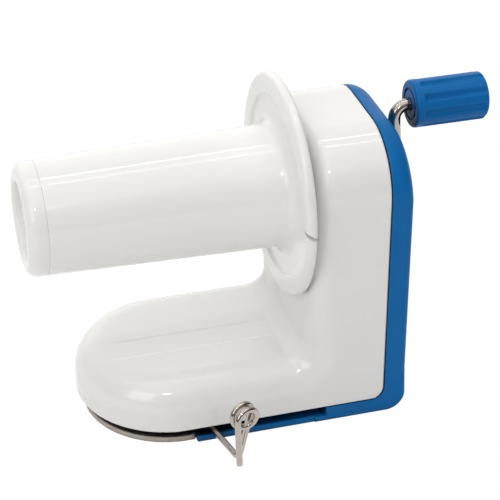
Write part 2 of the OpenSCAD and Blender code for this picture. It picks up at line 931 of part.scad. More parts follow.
module gear_pin() {
  color(steel)
    arm_frame()
      translate([gear_back + gear_hub_len / 2, 0, -gear_hub_r])
        cylinder(r = gear_pin_d / 2, h = 2 * gear_hub_r);
}

module crank_spacer() {
  color(nylon)
    translate([0, 0, crank_z])
      sleeve(rod_bush_r, rod_r + seat_gap, hub_end, rear_bush_front - end_gap);
}

module crank_washer() {
  color(steel)
    translate([0, 0, crank_z])
      sleeve(rod_bush_r + bush_wall, rod_r + seat_gap, washer_x, gear_front);
}

module grip_retainer() {
  color(steel)
    arm_frame()
      translate([0, 0, arm_len])
        sleeve(pocket_r - retainer_gap, rod_r + seat_gap, retainer_x, retainer_x + 2 * clip_t);
}

// Half section of the grip: length up, radius across, round at both edges
module grip_half() {
  r = grip_d / 2;
  square([r - grip_round, grip_len]);
  translate([0, grip_round])
    square([r, grip_len - 2 * grip_round]);
  for (h = [grip_round, grip_len - grip_round])
    translate([r - grip_round, h])
      circle(grip_round);
}

module grip() {
  color(blue)
    arm_frame()
      translate([0, 0, arm_len])
        difference() {
          translate([grip_x, 0, 0])
            rotate([0, 90, 0])
              rotate_extrude()
                grip_half();
          bar(rod_r + run_gap, 0, far);
          bar(pocket_r, pocket_x, far);
          for (i = [0:flute_n - 1])
            rotate([360 / flute_n * i + flute_turn, 0, 0])
              translate([0, 0, grip_d / 2 + flute_r - flute_depth])
                bar(flute_r, grip_x + grip_band, far);
          sleeve(groove_r, groove_r - groove_w, 0, grip_x + groove_depth);
        }
}

module grip_cap() {
  color(blue)
    arm_frame()
      translate([0, 0, arm_len])
        bar(pocket_r - seat_gap, cap_x, grip_end);
}

module rotor_shaft() {
  color(steel)
    rotor_frame()
      bar(shaft_r, shaft_front, shaft_end);
}

module rotor_pinion() {
  color(nylon)
    rotor_frame()
      difference() {
        gear_x_section(pinion_s, pinion_s + pinion_w)
          rotate(180 / pinion_teeth)
            gear_section(pinion_teeth);
        bar(shaft_r + seat_gap, 0, far);
      }
}

module carrier() {
  arm_r = planet_pin_d / 2 + carrier_wall;
  color(nylon)
    difference() {
      union() {
        rotor_frame()
          gear_x_section(carrier_front, carrier_back) {
            circle(carrier_hub_r + carrier_step);
            translate([planet_c, 0])
              circle(arm_r);
            translate([0, -arm_r])
              square([planet_c, 2 * arm_r]);
          }
        spindle_frame()
          bar(carrier_hub_r, -hub_front, carrier_front + carrier_t / 2);
      }
      rotor_frame() {
        bar(shaft_r + seat_gap, shaft_front, far);
        translate([0, 0, -planet_c])
          bar(planet_pin_d / 2 + seat_gap, -far, far);
      }
      spindle_frame()
        bar(shaft_r + seat_gap, -far, seat_gap - axle_back);
    }
}

module spindle_axle() {
  color(steel)
    spindle_frame()
      difference() {
        bar(shaft_r, -axle_end, -axle_back);
        bar(axle_screw_r + seat_gap, -far, shank_len - axle_end);
      }
}

module planet_pin() {
  color(steel)
    rotor_frame()
      translate([0, 0, -planet_c]) {
        bar(planet_pin_d / 2, carrier_front, planet_s + planet_w + end_gap + clip_t);
        bar(planet_head_r, planet_s + planet_w + end_gap, planet_s + planet_w + end_gap + clip_t);
      }
}

module rotor_clip() {
  color(steel)
    rotor_frame()
      sleeve(axle_bush_r, shaft_r + seat_gap, clip_s, clip_s + clip_t);
}

module axle_washer() {
  color(steel)
    spindle_frame()
      sleeve(sleeve_r - sleeve_wall / 2, screw_r, -axle_end - clip_t, -axle_end);
}

module axle_screw() {
  color(steel)
    spindle_frame() {
      bar(head_r, -axle_end - clip_t - head_h, -axle_end - clip_t);
      bar(axle_screw_r, -axle_end - clip_t - nudge, shank_len - nudge - axle_end);
    }
}

module planet_gear() {
  color(bronze)
    rotor_frame()
      translate([0, 0, -planet_c])
        difference() {
          gear_x_section(planet_s, planet_s + planet_w)
            rotate(180 / planet_teeth)
              gear_section(planet_teeth);
          bar(planet_pin_d / 2 + run_gap, -far, far);
        }
}

// Turns a half section, radius across and distance ahead of the flange's middle up, about the spindle's axis
module spin_section() {
  spindle_frame()
    rotate([0, -90, 0])
      rotate_extrude()
        children();
}

module tube_outline() {
  rim = flange_t / 2;
  translate([0, -rim])
    square([flange_r - rim_w, flange_t - dish_depth]);
  translate([flange_r - rim_w - rim_round, -rim])
    square([rim_w, flange_t]);
  translate([flange_r - rim_w, rim_round - rim])
    square([rim_w, flange_t - 2 * rim_round]);
  for (h = [rim_round - rim, rim - rim_round])
    translate([flange_r - rim_round, h])
      circle(rim_round);
  polygon([
    [0, dish_h - nudge],
    [root_r, dish_h - nudge],
    [root_r, dish_h],
    [tube_r(cap_h), cap_h],
    [0, cap_h]
  ]);
  difference() {
    translate([root_r - nudge, dish_h - nudge])
      square([root_fillet_r + nudge, root_fillet_r + nudge]);
    translate([root_r + root_fillet_r, dish_h + root_fillet_r])
      circle(root_fillet_r);
  }
}

module spindle_tube() {
  ring_step = ring_w - ring_back;
  color(white)
    difference() {
      spin_section()
        difference() {
          tube_outline();
          translate([0, -far])
            square([ring_out + seat_gap, far + ring_step]);
          polygon([
            [0, 0],
            [tube_r(dish_h) - tube_wall, 0],
            [tube_r(web_ahead) - tube_wall, web_ahead],
            [0, web_ahead]
          ]);
          difference() {
            polygon([
              [0, web_ahead + web_t],
              [tube_r(web_ahead + web_t) - tube_wall, web_ahead + web_t],
              [tube_r(cap_h) - tube_wall, cap_h],
              [tube_r(cap_h) - tube_wall, cap_h + nudge],
              [0, cap_h + nudge]
            ]);
            square([sleeve_r, sleeve_end]);
          }
          square([axle_bush_r + seat_gap, far]);
        }
      spindle_frame()
        translate([0, -flange_r, 0])
          rotate([0, notch_slant, 0])
            cube([4 * flange_t, 2 * notch_depth, notch_w], center = true);
    }
}

module tip_cap() {
  spigot_r = tube_r(cap_h) - tube_wall - seat_gap;
  color(white)
    spin_section()
      difference() {
        union() {
          polygon([[0, cap_h + seam_gap], [tube_r(cap_h), cap_h + seam_gap],
            [tube_r(tip_h - tip_round), tip_h - tip_round], [0, tip_h - tip_round]]);
          translate([0, cap_h + nudge])
            square([tube_r(tip_h - tip_round) - tip_round, cap_len - nudge]);
          translate([tube_r(tip_h - tip_round) - tip_round, tip_h - tip_round])
            circle(tip_round);
          translate([0, cap_h - spigot_len])
            square([spigot_r, spigot_len + nudge]);
        }
        square([spigot_r - tube_wall, tip_h - mouth_depth - web_t]);
        translate([0, tip_h - mouth_depth])
          square([mouth_r, far]);
      }
}

module ring_gear() {
  color(nylon)
    spindle_frame()
      gear_x_section(ring_back - ring_w, ring_back)
        difference() {
          circle(ring_out);
          rotate(180 / ring_teeth)
            polygon(gear_outline(ring_teeth, tooth_ded, tooth_add, -tooth_thin));
        }
}

module spindle_bush_rear() {
  color(bronze)
    spindle_frame()
      sleeve(axle_bush_r, shaft_r + run_gap, -web_ahead - bush_len, -web_ahead);
}

module spindle_bush_front() {
  color(bronze)
    spindle_frame()
      sleeve(axle_bush_r, shaft_r + run_gap, -sleeve_end, bush_len - sleeve_end);
}

// Route of the guide's wire, as [sideways, outwards, up] from the pivot at floor level
eye_z = guide_z + eye_lift;
leg_tilt = atan2(eye_side, eye_lift) + asin(eye_r / norm([eye_side, eye_lift]));
eye_start = -leg_tilt;
eye_stop = 540;
eye_step = 15;
leg_run = sqrt(eye_side * eye_side + eye_lift * eye_lift - eye_r * eye_r);
leg_dir = [sin(leg_tilt), 0, cos(leg_tilt)];
leg_foot = [0, -guide_reach, guide_z];
eye_rise = eye_pitch / 360;
leg_out = guide_reach + (eye_stop - eye_start) * eye_rise;
function eye_point(a) =
  [eye_side + eye_r * cos(a), -guide_reach - (a - eye_start) * eye_rise, eye_z + eye_r * sin(a)];
function free_leg(z) = [eye_side - eye_r + leg_drift * (eye_z - z) / (eye_z - leg_end), -leg_out, z];
straight_step = 1.5;
wire_start = pivot_d / 2 + run_gap + wire_seat;
arm_stop = guide_reach - guide_bend_r;
leg_stop = leg_run - nudge;
free_top = eye_z - nudge;
wire_route = concat(
  [for (d = [wire_start:straight_step:arm_stop - nudge]) [0, -d, guide_z]],
  [for (b = [0:15:90]) leg_foot + guide_bend_r * ((1 - sin(b)) * [0, 1, 0] + (1 - cos(b)) * leg_dir)],
  [for (d = [guide_bend_r + straight_step:straight_step:leg_stop]) leg_foot + d * leg_dir],
  [for (a = [eye_start:eye_step:eye_stop]) eye_point(a)],
  [for (z = [free_top:-straight_step:leg_end + straight_step / 2]) free_leg(z)],
  [free_leg(leg_end)]
);
wire_n = len(wire_route);
function unit(v) = v / norm(v);
wire_tangent = [for (i = [0:wire_n - 1])
  unit(wire_route[min(i + 1, wire_n - 1)] - wire_route[max(i - 1, 0)])];
// Normals carried along the route without twist
wire_normal = [for (i = 0, n = [1, 0, 0]; i < wire_n; i = i + 1,
  n = i < wire_n ? unit(n - (n * wire_tangent[i]) * wire_tangent[i]) : n) n];
wire_sides = 8;
apart = 7;
wire_gap = min([for (i = [0:wire_n - 1], j = [i + apart:1:wire_n - 1])
  norm(wire_route[i] - wire_route[j])]) - wire_d;
echo(least_gap_of_guide_wire = wire_gap);

module yarn_guide() {
  points = [for (i = [0:wire_n - 1], k = [0:wire_sides - 1])
    let (n = wire_normal[i], b = cross(wire_tangent[i], n), a = 360 / wire_sides * k)
    wire_route[i] + wire_r * (cos(a) * n + sin(a) * b)];
  last = (wire_n - 1) * wire_sides;
  sides = [for (i = [0:wire_n - 2], k = [0:wire_sides - 1], half = [0, 1])
    let (p = i * wire_sides + k, q = i * wire_sides + (k + 1) % wire_sides)
    half == 0 ? [p, p + wire_sides, q] : [q, p + wire_sides, q + wire_sides]];
  caps = [for (k = [1:wire_sides - 2], end = [0, 1])
    end == 0 ? [0, k, k + 1] : [last, last + k + 1, last + k]];
  color(steel)
    guide_frame()
      polyhedron(points, concat(sides, caps));
}

module guide_collar() {
  color(nylon)
    guide_frame()
      difference() {
        translate([0, 0, collar_z])
          cylinder(r = collar_r, h = collar_h);
        cylinder(r = pivot_d / 2 + run_gap, h = far);
        translate([0, -wire_start + seat_gap, guide_z])
          rotate([90, 0, 0])
            cylinder(r = wire_r + seat_gap, h = far);
      }
}

front_shell();
rear_shell();
toe_pad();
bearing_plate();
rotor_bush();
sun_gear();
crank_bush_front();
crank_bush_rear();
shell_screws();
plate_screws();
base_screws();
guide_clip();
crank_rod();
crank_gear();
gear_pin();
crank_spacer();
crank_washer();
grip_retainer();
grip();
grip_cap();
rotor_shaft();
rotor_pinion();
carrier();
spindle_axle();
planet_pin();
rotor_clip();
axle_washer();
axle_screw();
planet_gear();
spindle_tube();
tip_cap();
ring_gear();
spindle_bush_rear();
spindle_bush_front();
yarn_guide();
guide_collar();
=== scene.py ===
"""The looks of a hand-cranked yarn ball winder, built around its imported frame. Sizes are in millimetres."""

import json
import math

import bmesh
import bpy
import numpy as np
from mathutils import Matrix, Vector


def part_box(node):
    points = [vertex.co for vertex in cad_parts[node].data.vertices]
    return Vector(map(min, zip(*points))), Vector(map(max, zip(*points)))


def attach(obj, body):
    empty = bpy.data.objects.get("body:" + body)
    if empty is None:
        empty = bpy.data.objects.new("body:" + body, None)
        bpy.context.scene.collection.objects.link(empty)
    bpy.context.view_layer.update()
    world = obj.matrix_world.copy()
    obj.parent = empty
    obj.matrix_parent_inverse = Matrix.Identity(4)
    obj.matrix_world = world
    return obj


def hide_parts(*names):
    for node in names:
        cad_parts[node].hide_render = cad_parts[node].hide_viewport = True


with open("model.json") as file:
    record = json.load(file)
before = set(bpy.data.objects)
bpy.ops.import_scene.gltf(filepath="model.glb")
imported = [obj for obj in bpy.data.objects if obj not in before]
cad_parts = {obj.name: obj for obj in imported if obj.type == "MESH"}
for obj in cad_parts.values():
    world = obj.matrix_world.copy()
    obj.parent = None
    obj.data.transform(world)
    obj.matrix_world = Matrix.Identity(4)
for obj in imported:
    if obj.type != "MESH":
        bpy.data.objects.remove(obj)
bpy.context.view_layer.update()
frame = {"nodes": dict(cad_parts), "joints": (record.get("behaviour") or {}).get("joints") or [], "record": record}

MM = 0.001
slot_of = {row["node"]: row["material_slot"] for row in frame["record"]["subparts"]}
joints = {joint["name"]: joint for joint in frame["joints"]}


def span(node):
    """Lowest and highest corner of a frame node, in millimetres."""
    low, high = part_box(node)
    return np.array(low) / MM, np.array(high) / MM


def pivot(joint):
    return np.array(joints[joint]["pos_m"]) / MM


# Camera: where the photograph was taken from
AIM = Vector((-34.9, 35.0, 39.8)) * MM
AZIMUTH, ELEVATION = math.radians(-16.03), math.radians(31.43)
DISTANCE = 755.3 * MM
SENSOR, LENS = 36.0, 129.07
camera_data = bpy.data.cameras.new("photo_camera")
camera_data.sensor_width, camera_data.lens = SENSOR, LENS
camera = bpy.data.objects.new("photo_camera", camera_data)
bpy.context.collection.objects.link(camera)
bpy.context.scene.camera = camera
level = Vector((math.sin(AZIMUTH), -math.cos(AZIMUTH), 0.0)) * math.cos(ELEVATION)
back = level + Vector((0.0, 0.0, math.sin(ELEVATION)))
camera.location = AIM + back * DISTANCE
camera.rotation_euler = (-back).to_track_quat("-Z", "Y").to_euler()

# Sizes read off the frame
front_low, front_high = span("front_shell")
rear_low, rear_high = span("rear_shell")
pad_low, pad_high = span("toe_pad")
tube_low, tube_high = span("spindle_tube")
cap_low = span("tip_cap")[0]
rod_low, rod_high = span("crank_rod")
bush_low, bush_high = span("crank_bush_rear")
grip_low, grip_high = span("grip")
collar_low, collar_high = span("guide_collar")
clip_high = span("guide_clip")[1]
HALF_W = rear_high[1]
BODY_H = rear_high[2]
REAR_DEPTH = rear_high[0]
TRAY_REACH = -rear_low[0]
BASE_H = pad_high[2]
TOE_X = front_low[0] + HALF_W
FLANGE_R = tube_high[1]
SPINDLE_AT = pivot("rotor_spin")
LEAN = math.asin(-joints["rotor_spin"]["axis"][2])
CRANK_AT = pivot("crank_turn")
GRIP_AT = pivot("grip_spin")
GUIDE_AT = pivot("guide_swing")


# Materials
# By number, a Mix node's colours are inputs 6 and 7 and output 2, and a Map Range's ends are inputs 1 to 4

def linear(code):
    """An sRGB hex colour as linear red, green, blue and alpha."""
    parts = [int(code[i:i + 2], 16) / 255 for i in (1, 3, 5)]
    return tuple(c / 12.92 if c <= 0.04045 else ((c + 0.055) / 1.055) ** 2.4 for c in parts) + (1.0,)


def connect(tree, node, links):
    """Fills a node's inputs, by name or number, with sockets or values."""
    for key, value in links.items():
        if isinstance(value, bpy.types.NodeSocket):
            tree.links.new(value, node.inputs[key])
        else:
            node.inputs[key].default_value = value


def add(tree, kind, links=None, **settings):
    """Adds a node with its settings and links."""
    node = tree.nodes.new("ShaderNode" + kind)
    for key, value in settings.items():
        setattr(node, key, value)
    connect(tree, node, links or {})
    return node


def new_material(name, constants):
    """A material, its nodes, its shader with constant sockets filled, and pattern coordinates in metres."""
    material = bpy.data.materials.new(name)
    material.use_nodes = True
    tree = material.node_tree
    shader = tree.nodes["Principled BSDF"]
    connect(tree, shader, constants)
    return material, tree, shader, add(tree, "TexCoord").outputs["Object"]


def per_metre(size):
    """Pattern scale that gives features of a size in millimetres."""
    return 1 / (size * MM)


def painted_gap_shade(tree, own_colour):
    """A colour with painted shade: it goes nearly black deep in narrow gaps, where shade falls, wherever near
    walls close off more than half of what a spot faces."""
    # Painted shade: ambient occlusion blends the colour towards near-black #05080C in narrow gaps
    gap = add(tree, "AmbientOcclusion", {"Distance": 40 * MM}, samples=8)
    unshaded_share = add(tree, "MapRange", {0: gap.outputs["AO"], 1: 0.28, 2: 0.52})
    mixed = add(tree, "Mix", {0: unshaded_share.outputs[0], 6: linear("#05080C"), 7: own_colour}, data_type="RGBA")
    return mixed.outputs[2]


def dress(tree, shader, colour, roughness, relief, depth):
    """Links a shader's colour and roughness, and a relief of a depth in millimetres."""
    bump = add(tree, "Bump", {"Height": relief, "Distance": depth * MM})
    connect(tree, shader, {"Base Color": colour, "Roughness": roughness, "Normal": bump.outputs[0]})


def moulded_white_abs():
    """Glossy ABS from a polished mould: nearly white, lit a little from inside, with sharp highlights that
    slow sink marks bend."""
    material, tree, shader, place = new_material("moulded_white_abs", {
        "IOR": 1.54, "Subsurface Weight": 0.06, "Subsurface Radius": (2.0, 1.8, 1.5), "Subsurface Scale": MM})
    flow = add(tree, "TexNoise", {"Vector": place, "Scale": per_metre(60)})
    tint = add(tree, "Mix", {0: flow.outputs[0], 6: linear("#EFEEEB"), 7: linear("#F2F1EE")},
               data_type="RGBA")
    haze = add(tree, "TexNoise", {"Vector": place, "Scale": per_metre(25)})
    gloss = add(tree, "MapRange", {0: haze.outputs[0], 1: 0.3, 2: 0.7, 3: 0.08, 4: 0.11})
    sink = add(tree, "TexNoise", {"Vector": place, "Scale": per_metre(40), "Detail": 0.0})
    dress(tree, shader, tint.outputs[2], gloss.outputs[0], sink.outputs[0], 0.01)
    return material


def moulded_blue_abs():
    """ABS from a finely eroded mould: a strong blue with a satin grain, drawn at 0.9 mm so that it shows."""
    material, tree, shader, place = new_material("moulded_blue_abs", {"IOR": 1.54, "Specular IOR Level": 0.1})
    cloud = add(tree, "TexNoise", {"Vector": place, "Scale": per_metre(12), "Detail": 4.0})
    tint = add(tree, "Mix", {0: cloud.outputs[0], 6: linear("#0B66A8"), 7: linear("#0F6EB3")},
               data_type="RGBA")
    rubbed = add(tree, "TexNoise", {"Vector": place, "Scale": per_metre(3)})
    gloss = add(tree, "MapRange", {0: rubbed.outputs[0], 1: 0.3, 2: 0.7, 3: 0.34, 4: 0.46})
    grain = add(tree, "TexNoise", {"Vector": place, "Scale": per_metre(0.9)})
    # Painted shade: the blue goes nearly black deep in narrow gaps, such as the slot in the tray
    dress(tree, shader, painted_gap_shade(tree, tint.outputs[2]), gloss.outputs[0], grain.outputs[0], 0.02)
    return material


def cast_cream_rubber():
    """Cast rubber of the toe pad: dull cream with a crumb of lumps, drawn at 1.4 mm so that it shows."""
    material, tree, shader, place = new_material("cast_cream_rubber", {"IOR": 1.5})
    dirt = add(tree, "TexNoise", {"Vector": place, "Scale": per_metre(5), "Detail": 4.0})
    tint = add(tree, "Mix", {0: dirt.outputs[0], 6: linear("#CCC2B3"), 7: linear("#DED5C7")},
               data_type="RGBA")
    crumb = add(tree, "TexVoronoi", {"Vector": place, "Scale": per_metre(1.4)})
    dull = add(tree, "MapRange", {0: crumb.outputs["Distance"], 3: 0.7, 4: 0.85})
    # Painted shade: the cream goes nearly black deep in narrow gaps, such as under the foot's lip
    dress(tree, shader, painted_gap_shade(tree, tint.outputs[2]), dull.outputs[0], crumb.outputs["Distance"], 0.06)
    return material


def nickel_plated_steel():
    """Drawn steel wire with nickel plating: warm grey, mirrors its surroundings, with faint drawing marks."""
    material, tree, shader, place = new_material("nickel_plated_steel", {"Metallic": 1.0})
    tarnish = add(tree, "TexNoise", {"Vector": place, "Scale": per_metre(3)})
    tint = add(tree, "Mix", {0: tarnish.outputs[0], 6: linear("#A9A199"), 7: linear("#C2BBB3")},
               data_type="RGBA")
    marks = add(tree, "TexNoise", {"Vector": place, "Scale": per_metre(1.2)})
    gloss = add(tree, "MapRange", {0: marks.outputs[0], 1: 0.3, 2: 0.7, 3: 0.1, 4: 0.2})
    dress(tree, shader, tint.outputs[2], gloss.outputs[0], marks.outputs[0], 0.006)
    return material


def zinc_plated_steel():
    """Zinc plating of the screws and clips: blue-grey with a cloudy crystal bloom."""
    material, tree, shader, place = new_material("zinc_plated_steel", {"Metallic": 1.0})
    bloom = add(tree, "TexVoronoi", {"Vector": place, "Scale": per_metre(1.5)})
    tint = add(tree, "Mix", {0: bloom.outputs["Distance"], 6: linear("#C3C4C4"), 7: linear("#A6A9AD")},
               data_type="RGBA")
    cloud = add(tree, "TexNoise", {"Vector": place, "Scale": per_metre(0.8)})
    gloss = add(tree, "MapRange", {0: cloud.outputs[0], 1: 0.3, 2: 0.7, 3: 0.25, 4: 0.42})
    dress(tree, shader, tint.outputs[2], gloss.outputs[0], cloud.outputs[0], 0.01)
    return material


def natural_nylon():
    """Moulded nylon of the gears: milky, waxy and faintly streaked where the melt flowed."""
    material, tree, shader, place = new_material("natural_nylon", {
        "IOR": 1.53, "Subsurface Weight": 0.1, "Subsurface Radius": (1.5, 1.4, 1.1), "Subsurface Scale": MM})
    flow = add(tree, "TexNoise", {"Vector": place, "Scale": per_metre(8), "Distortion": 1.5})
    tint = add(tree, "Mix", {0: flow.outputs[0], 6: linear("#E2DCC9"), 7: linear("#ECE7D8")},
               data_type="RGBA")
    wax = add(tree, "TexNoise", {"Vector": place, "Scale": per_metre(1.5)})
    gloss = add(tree, "MapRange", {0: wax.outputs[0], 1: 0.3, 2: 0.7, 3: 0.36, 4: 0.5})
    dress(tree, shader, tint.outputs[2], gloss.outputs[0], wax.outputs[0], 0.02)
    return material


def sintered_bronze():
    """Oil-filled sintered bronze of the bushes: warm, dull and pitted, with the pits drawn at 0.5 mm."""
    material, tree, shader, place = new_material("sintered_bronze", {"Metallic": 1.0})
    pits = add(tree, "TexVoronoi", {"Vector": place, "Scale": per_metre(0.5)})
    tint = add(tree, "Mix", {0: pits.outputs["Distance"], 6: linear("#7F5D33"), 7: linear("#B98D55")},
               data_type="RGBA")
    oil = add(tree, "TexNoise", {"Vector": place, "Scale": per_metre(2)})
    gloss = add(tree, "MapRange", {0: oil.outputs[0], 1: 0.3, 2: 0.7, 3: 0.36, 4: 0.55})
    dress(tree, shader, tint.outputs[2], gloss.outputs[0], pits.outputs["Distance"], 0.04)
    return material


WHITE, BLUE, CREAM = moulded_white_abs(), moulded_blue_abs(), cast_cream_rubber()
BRIGHT, ZINC = nickel_plated_steel(), zinc_plated_steel()
NYLON, BRONZE = natural_nylon(), sintered_bronze()
FINISH = {"white_plastic": WHITE, "blue_plastic": BLUE, "cream_plastic": CREAM, "nylon": NYLON,
          "bronze": BRONZE, "bright_steel": BRIGHT, "screw_steel": ZINC}
for name, part in frame["nodes"].items():
    for slot in part.material_slots:
        slot.material = FINISH[slot_of[name]]


# Mesh makers

WELD = 0.001 * MM
SKIN_PASSES, LEAST_SLOPE, LONGEST_MOVE = 4, 0.2, 0.3
DOME = 0.45


def new_piece(name, shape, body, node, sharp=35, beside=False):
    """A mesh piece that rides on a body in place of a frame node, or beside it, in that node's finish.

    The shape is points in millimetres, faces and, for a skin, the points' normals."""
    mesh = bpy.data.meshes.new(name)
    mesh.from_pydata((np.asarray(shape[0]) * MM).tolist(), [], [[int(i) for i in face] for face in shape[1]])
    if len(shape) == 3:
        mesh.polygons.foreach_set("use_smooth", [True] * len(mesh.polygons))
        mesh.normals_split_custom_set_from_vertices(shape[2].tolist())
    else:
        weld = bmesh.new()
        weld.from_mesh(mesh)
        bmesh.ops.remove_doubles(weld, verts=weld.verts, dist=WELD)
        bmesh.ops.recalc_face_normals(weld, faces=weld.faces)
        weld.to_mesh(mesh)
        weld.free()
        mesh.polygons.foreach_set("use_smooth", [True] * len(mesh.polygons))
        mesh.set_sharp_from_angle(angle=math.radians(sharp))
    mesh.materials.append(FINISH[slot_of[node]])
    piece = bpy.data.objects.new(name, mesh)
    bpy.context.collection.objects.link(piece)
    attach(piece, body)
    if not beside:
        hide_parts(node)


def both(a, b, r):
    """The overlap of two distance fields, with their common edge rounded to a radius."""
    return np.minimum(np.maximum(a, b) + r, 0) + np.hypot(np.maximum(a + r, 0), np.maximum(b + r, 0)) - r


def either(a, b, r):
    """The union of two distance fields, with a fillet of a radius in the corner between them."""
    return np.maximum(np.minimum(a, b), r) - np.hypot(np.maximum(r - a, 0), np.maximum(r - b, 0))


def all_of(*fields):
    """The overlap of several distance fields, with sharp edges."""
    total = fields[0]
    for field in fields[1:]:
        total = np.maximum(total, field)
    return total


def grid(low, high, step, fine_to=None, fine_step=0.4):
    """Grid lines along one axis, which lie closer together from its low end up to a place."""
    if fine_to is None:
        return np.arange(low - step, high + 2 * step, step)
    return np.concatenate([np.arange(low - fine_step, fine_to, fine_step),
                           np.arange(fine_to, high + 2 * step, step)])


def gradient(field, points, reach=0.02):
    steps = reach * np.eye(3)
    return np.stack([field(*(points + d).T) - field(*(points - d).T) for d in steps], axis=1) / (2 * reach)


def skin(field, *axes):
    """Points, quads and normals of a distance field's zero surface, with a point in each cell it crosses."""
    value = field(*np.meshgrid(*axes, indexing="ij", sparse=True))
    inside = value < 0
    cells = np.array(value.shape) - 1
    corners = [np.array([i, j, k]) for i in (0, 1) for j in (0, 1) for k in (0, 1)]
    filled = np.zeros(cells, np.int8)
    for corner in corners:
        filled += inside[tuple(slice(c, c + n) for c, n in zip(corner, cells))]
    mixed = (filled > 0) & (filled < 8)
    cell = np.argwhere(mixed)
    index = np.full(cells, -1)
    index[mixed] = np.arange(len(cell))
    total, hits = np.zeros((len(cell), 3)), np.zeros((len(cell), 1))
    for a in corners:
        for b in corners:
            if np.sum(b - a) == 1 and np.sum(np.abs(b - a)) == 1:
                at_a, at_b = (cell + a).T, (cell + b).T
                value_a, value_b = value[tuple(at_a)], value[tuple(at_b)]
                crossed = (value_a < 0) != (value_b < 0)
                share = np.where(crossed, value_a / np.where(crossed, value_a - value_b, 1), 0)
                here = np.stack([line[i] for line, i in zip(axes, at_a)], axis=1)
                there = np.stack([line[i] for line, i in zip(axes, at_b)], axis=1)
                total += crossed[:, None] * (here + share[:, None] * (there - here))
                hits += crossed[:, None]
    points = total / hits
    quads = []
    for axis in range(3):
        u, v = (axis + 1) % 3, (axis + 2) % 3
        ahead = np.take(inside, range(1, value.shape[axis]), axis)
        here = np.take(inside, range(value.shape[axis] - 1), axis)
        at = np.argwhere(ahead != here)
        at = at[(at[:, u] > 0) & (at[:, v] > 0) & (at[:, u] < cells[u]) & (at[:, v] < cells[v])]
        du, dv = np.eye(3, dtype=int)[u], np.eye(3, dtype=int)[v]
        around = ((0, 0), (1, 0), (1, 1), (0, 1))
        ring = np.stack([index[tuple((at - s * du - t * dv).T)] for s, t in around], axis=1)
        quads.append(np.where(here[tuple(at.T)][:, None], ring, ring[:, ::-1]))
    for _ in range(SKIN_PASSES):
        slope = gradient(field, points)
        steep = np.maximum(np.sum(slope * slope, axis=1, keepdims=True), LEAST_SLOPE)
        move = -field(*points.T)[:, None] * slope / steep
        points = points + np.clip(move, -LONGEST_MOVE, LONGEST_MOVE)
    slope = gradient(field, points)
    return points, np.concatenate(quads), slope / np.linalg.norm(slope, axis=1, keepdims=True)


def softened(corners, steps=6):
    """A polyline whose corners, given as (radius, place, round), are rounded."""
    line = []
    for i, (x, y, r) in enumerate(corners):
        here = np.array([x, y], float)
        before, after = (np.array(corners[j][:2], float) for j in (i - 1, (i + 1) % len(corners)))
        if r <= 0:
            line.append(here)
            continue
        a, b = (before - here), (after - here)
        a, b = a / np.linalg.norm(a), b / np.linalg.norm(b)
        half = math.acos(np.clip(a @ b, -1, 1)) / 2
        centre = here + (a + b) / np.linalg.norm(a + b) * r / math.sin(half)
        start, stop = here + a * r / math.tan(half) - centre, here + b * r / math.tan(half) - centre
        turn = math.atan2(start[0] * stop[1] - start[1] * stop[0], start @ stop)
        for k in range(steps + 1):
            c, s = math.cos(turn * k / steps), math.sin(turn * k / steps)
            line.append(centre + [c * start[0] - s * start[1], s * start[0] + c * start[1]])
    return np.array(line)


def lathe(line, at, angles):
    """Points and quads of a closed polyline of (radius, place) turned about the X axis through a point."""
    sides, n = len(angles), len(line)
    r, x = line[:, 0][None, :], np.tile(line[:, 1], (sides, 1))
    points = np.stack([x, r * np.cos(angles)[:, None], r * np.sin(angles)[:, None]], axis=2)
    i, j = np.meshgrid(np.arange(sides), np.arange(n), indexing="ij")
    i2, j2 = (i + 1) % sides, (j + 1) % n
    quads = np.stack([i * n + j, i * n + j2, i2 * n + j2, i2 * n + j], axis=2).reshape(-1, 4)
    return points.reshape(-1, 3) + at, quads


def full_turn(sides):
    return np.arange(sides) * 2 * math.pi / sides


def tube(route, r, sides=20, cap_rings=4):
    """Points and faces of a round wire along a route, with domed ends."""
    route = np.array(route, float)
    tangent = np.gradient(route, axis=0)
    tangent /= np.linalg.norm(tangent, axis=1, keepdims=True)
    normal = np.cross(tangent[0], [0.3, 0.9, 0.2])
    angle = full_turn(sides)
    dome = DOME * r

    def ring(centre, direction, across, radius):
        up = np.cross(direction, across)
        return centre + radius * (np.cos(angle)[:, None] * across + np.sin(angle)[:, None] * up)

    rings = []
    for centre, direction in zip(route, tangent):
        normal = normal - (normal @ direction) * direction
        normal /= np.linalg.norm(normal)
        rings.append((centre, direction, normal.copy(), r))
    ends = []
    for centre, direction, across, _ in (rings[0], rings[-1]):
        inwards = direction if not ends else -direction
        turns = np.linspace(0, math.pi / 2, cap_rings + 1)[1:-1]
        ends.append([(centre + inwards * dome * (1 - math.cos(t)), direction, across, r * math.sin(t))
                     for t in turns])
        rings = [k for k in rings if (k[0] - centre) @ inwards > dome or np.linalg.norm(k[0] - centre) > r]
    every = ends[0] + rings + ends[1][::-1]
    points = np.concatenate([ring(*k) for k in every])
    i, k = np.meshgrid(np.arange(len(every) - 1), np.arange(sides), indexing="ij")
    a, b = i * sides + k, i * sides + (k + 1) % sides
    faces = np.stack([a, b, b + sides, a + sides], axis=2).reshape(-1, 4).tolist()
    faces.append(list(reversed(range(sides))))
    faces.append(list(range(len(points) - sides, len(points))))
    return points, faces


# Shells

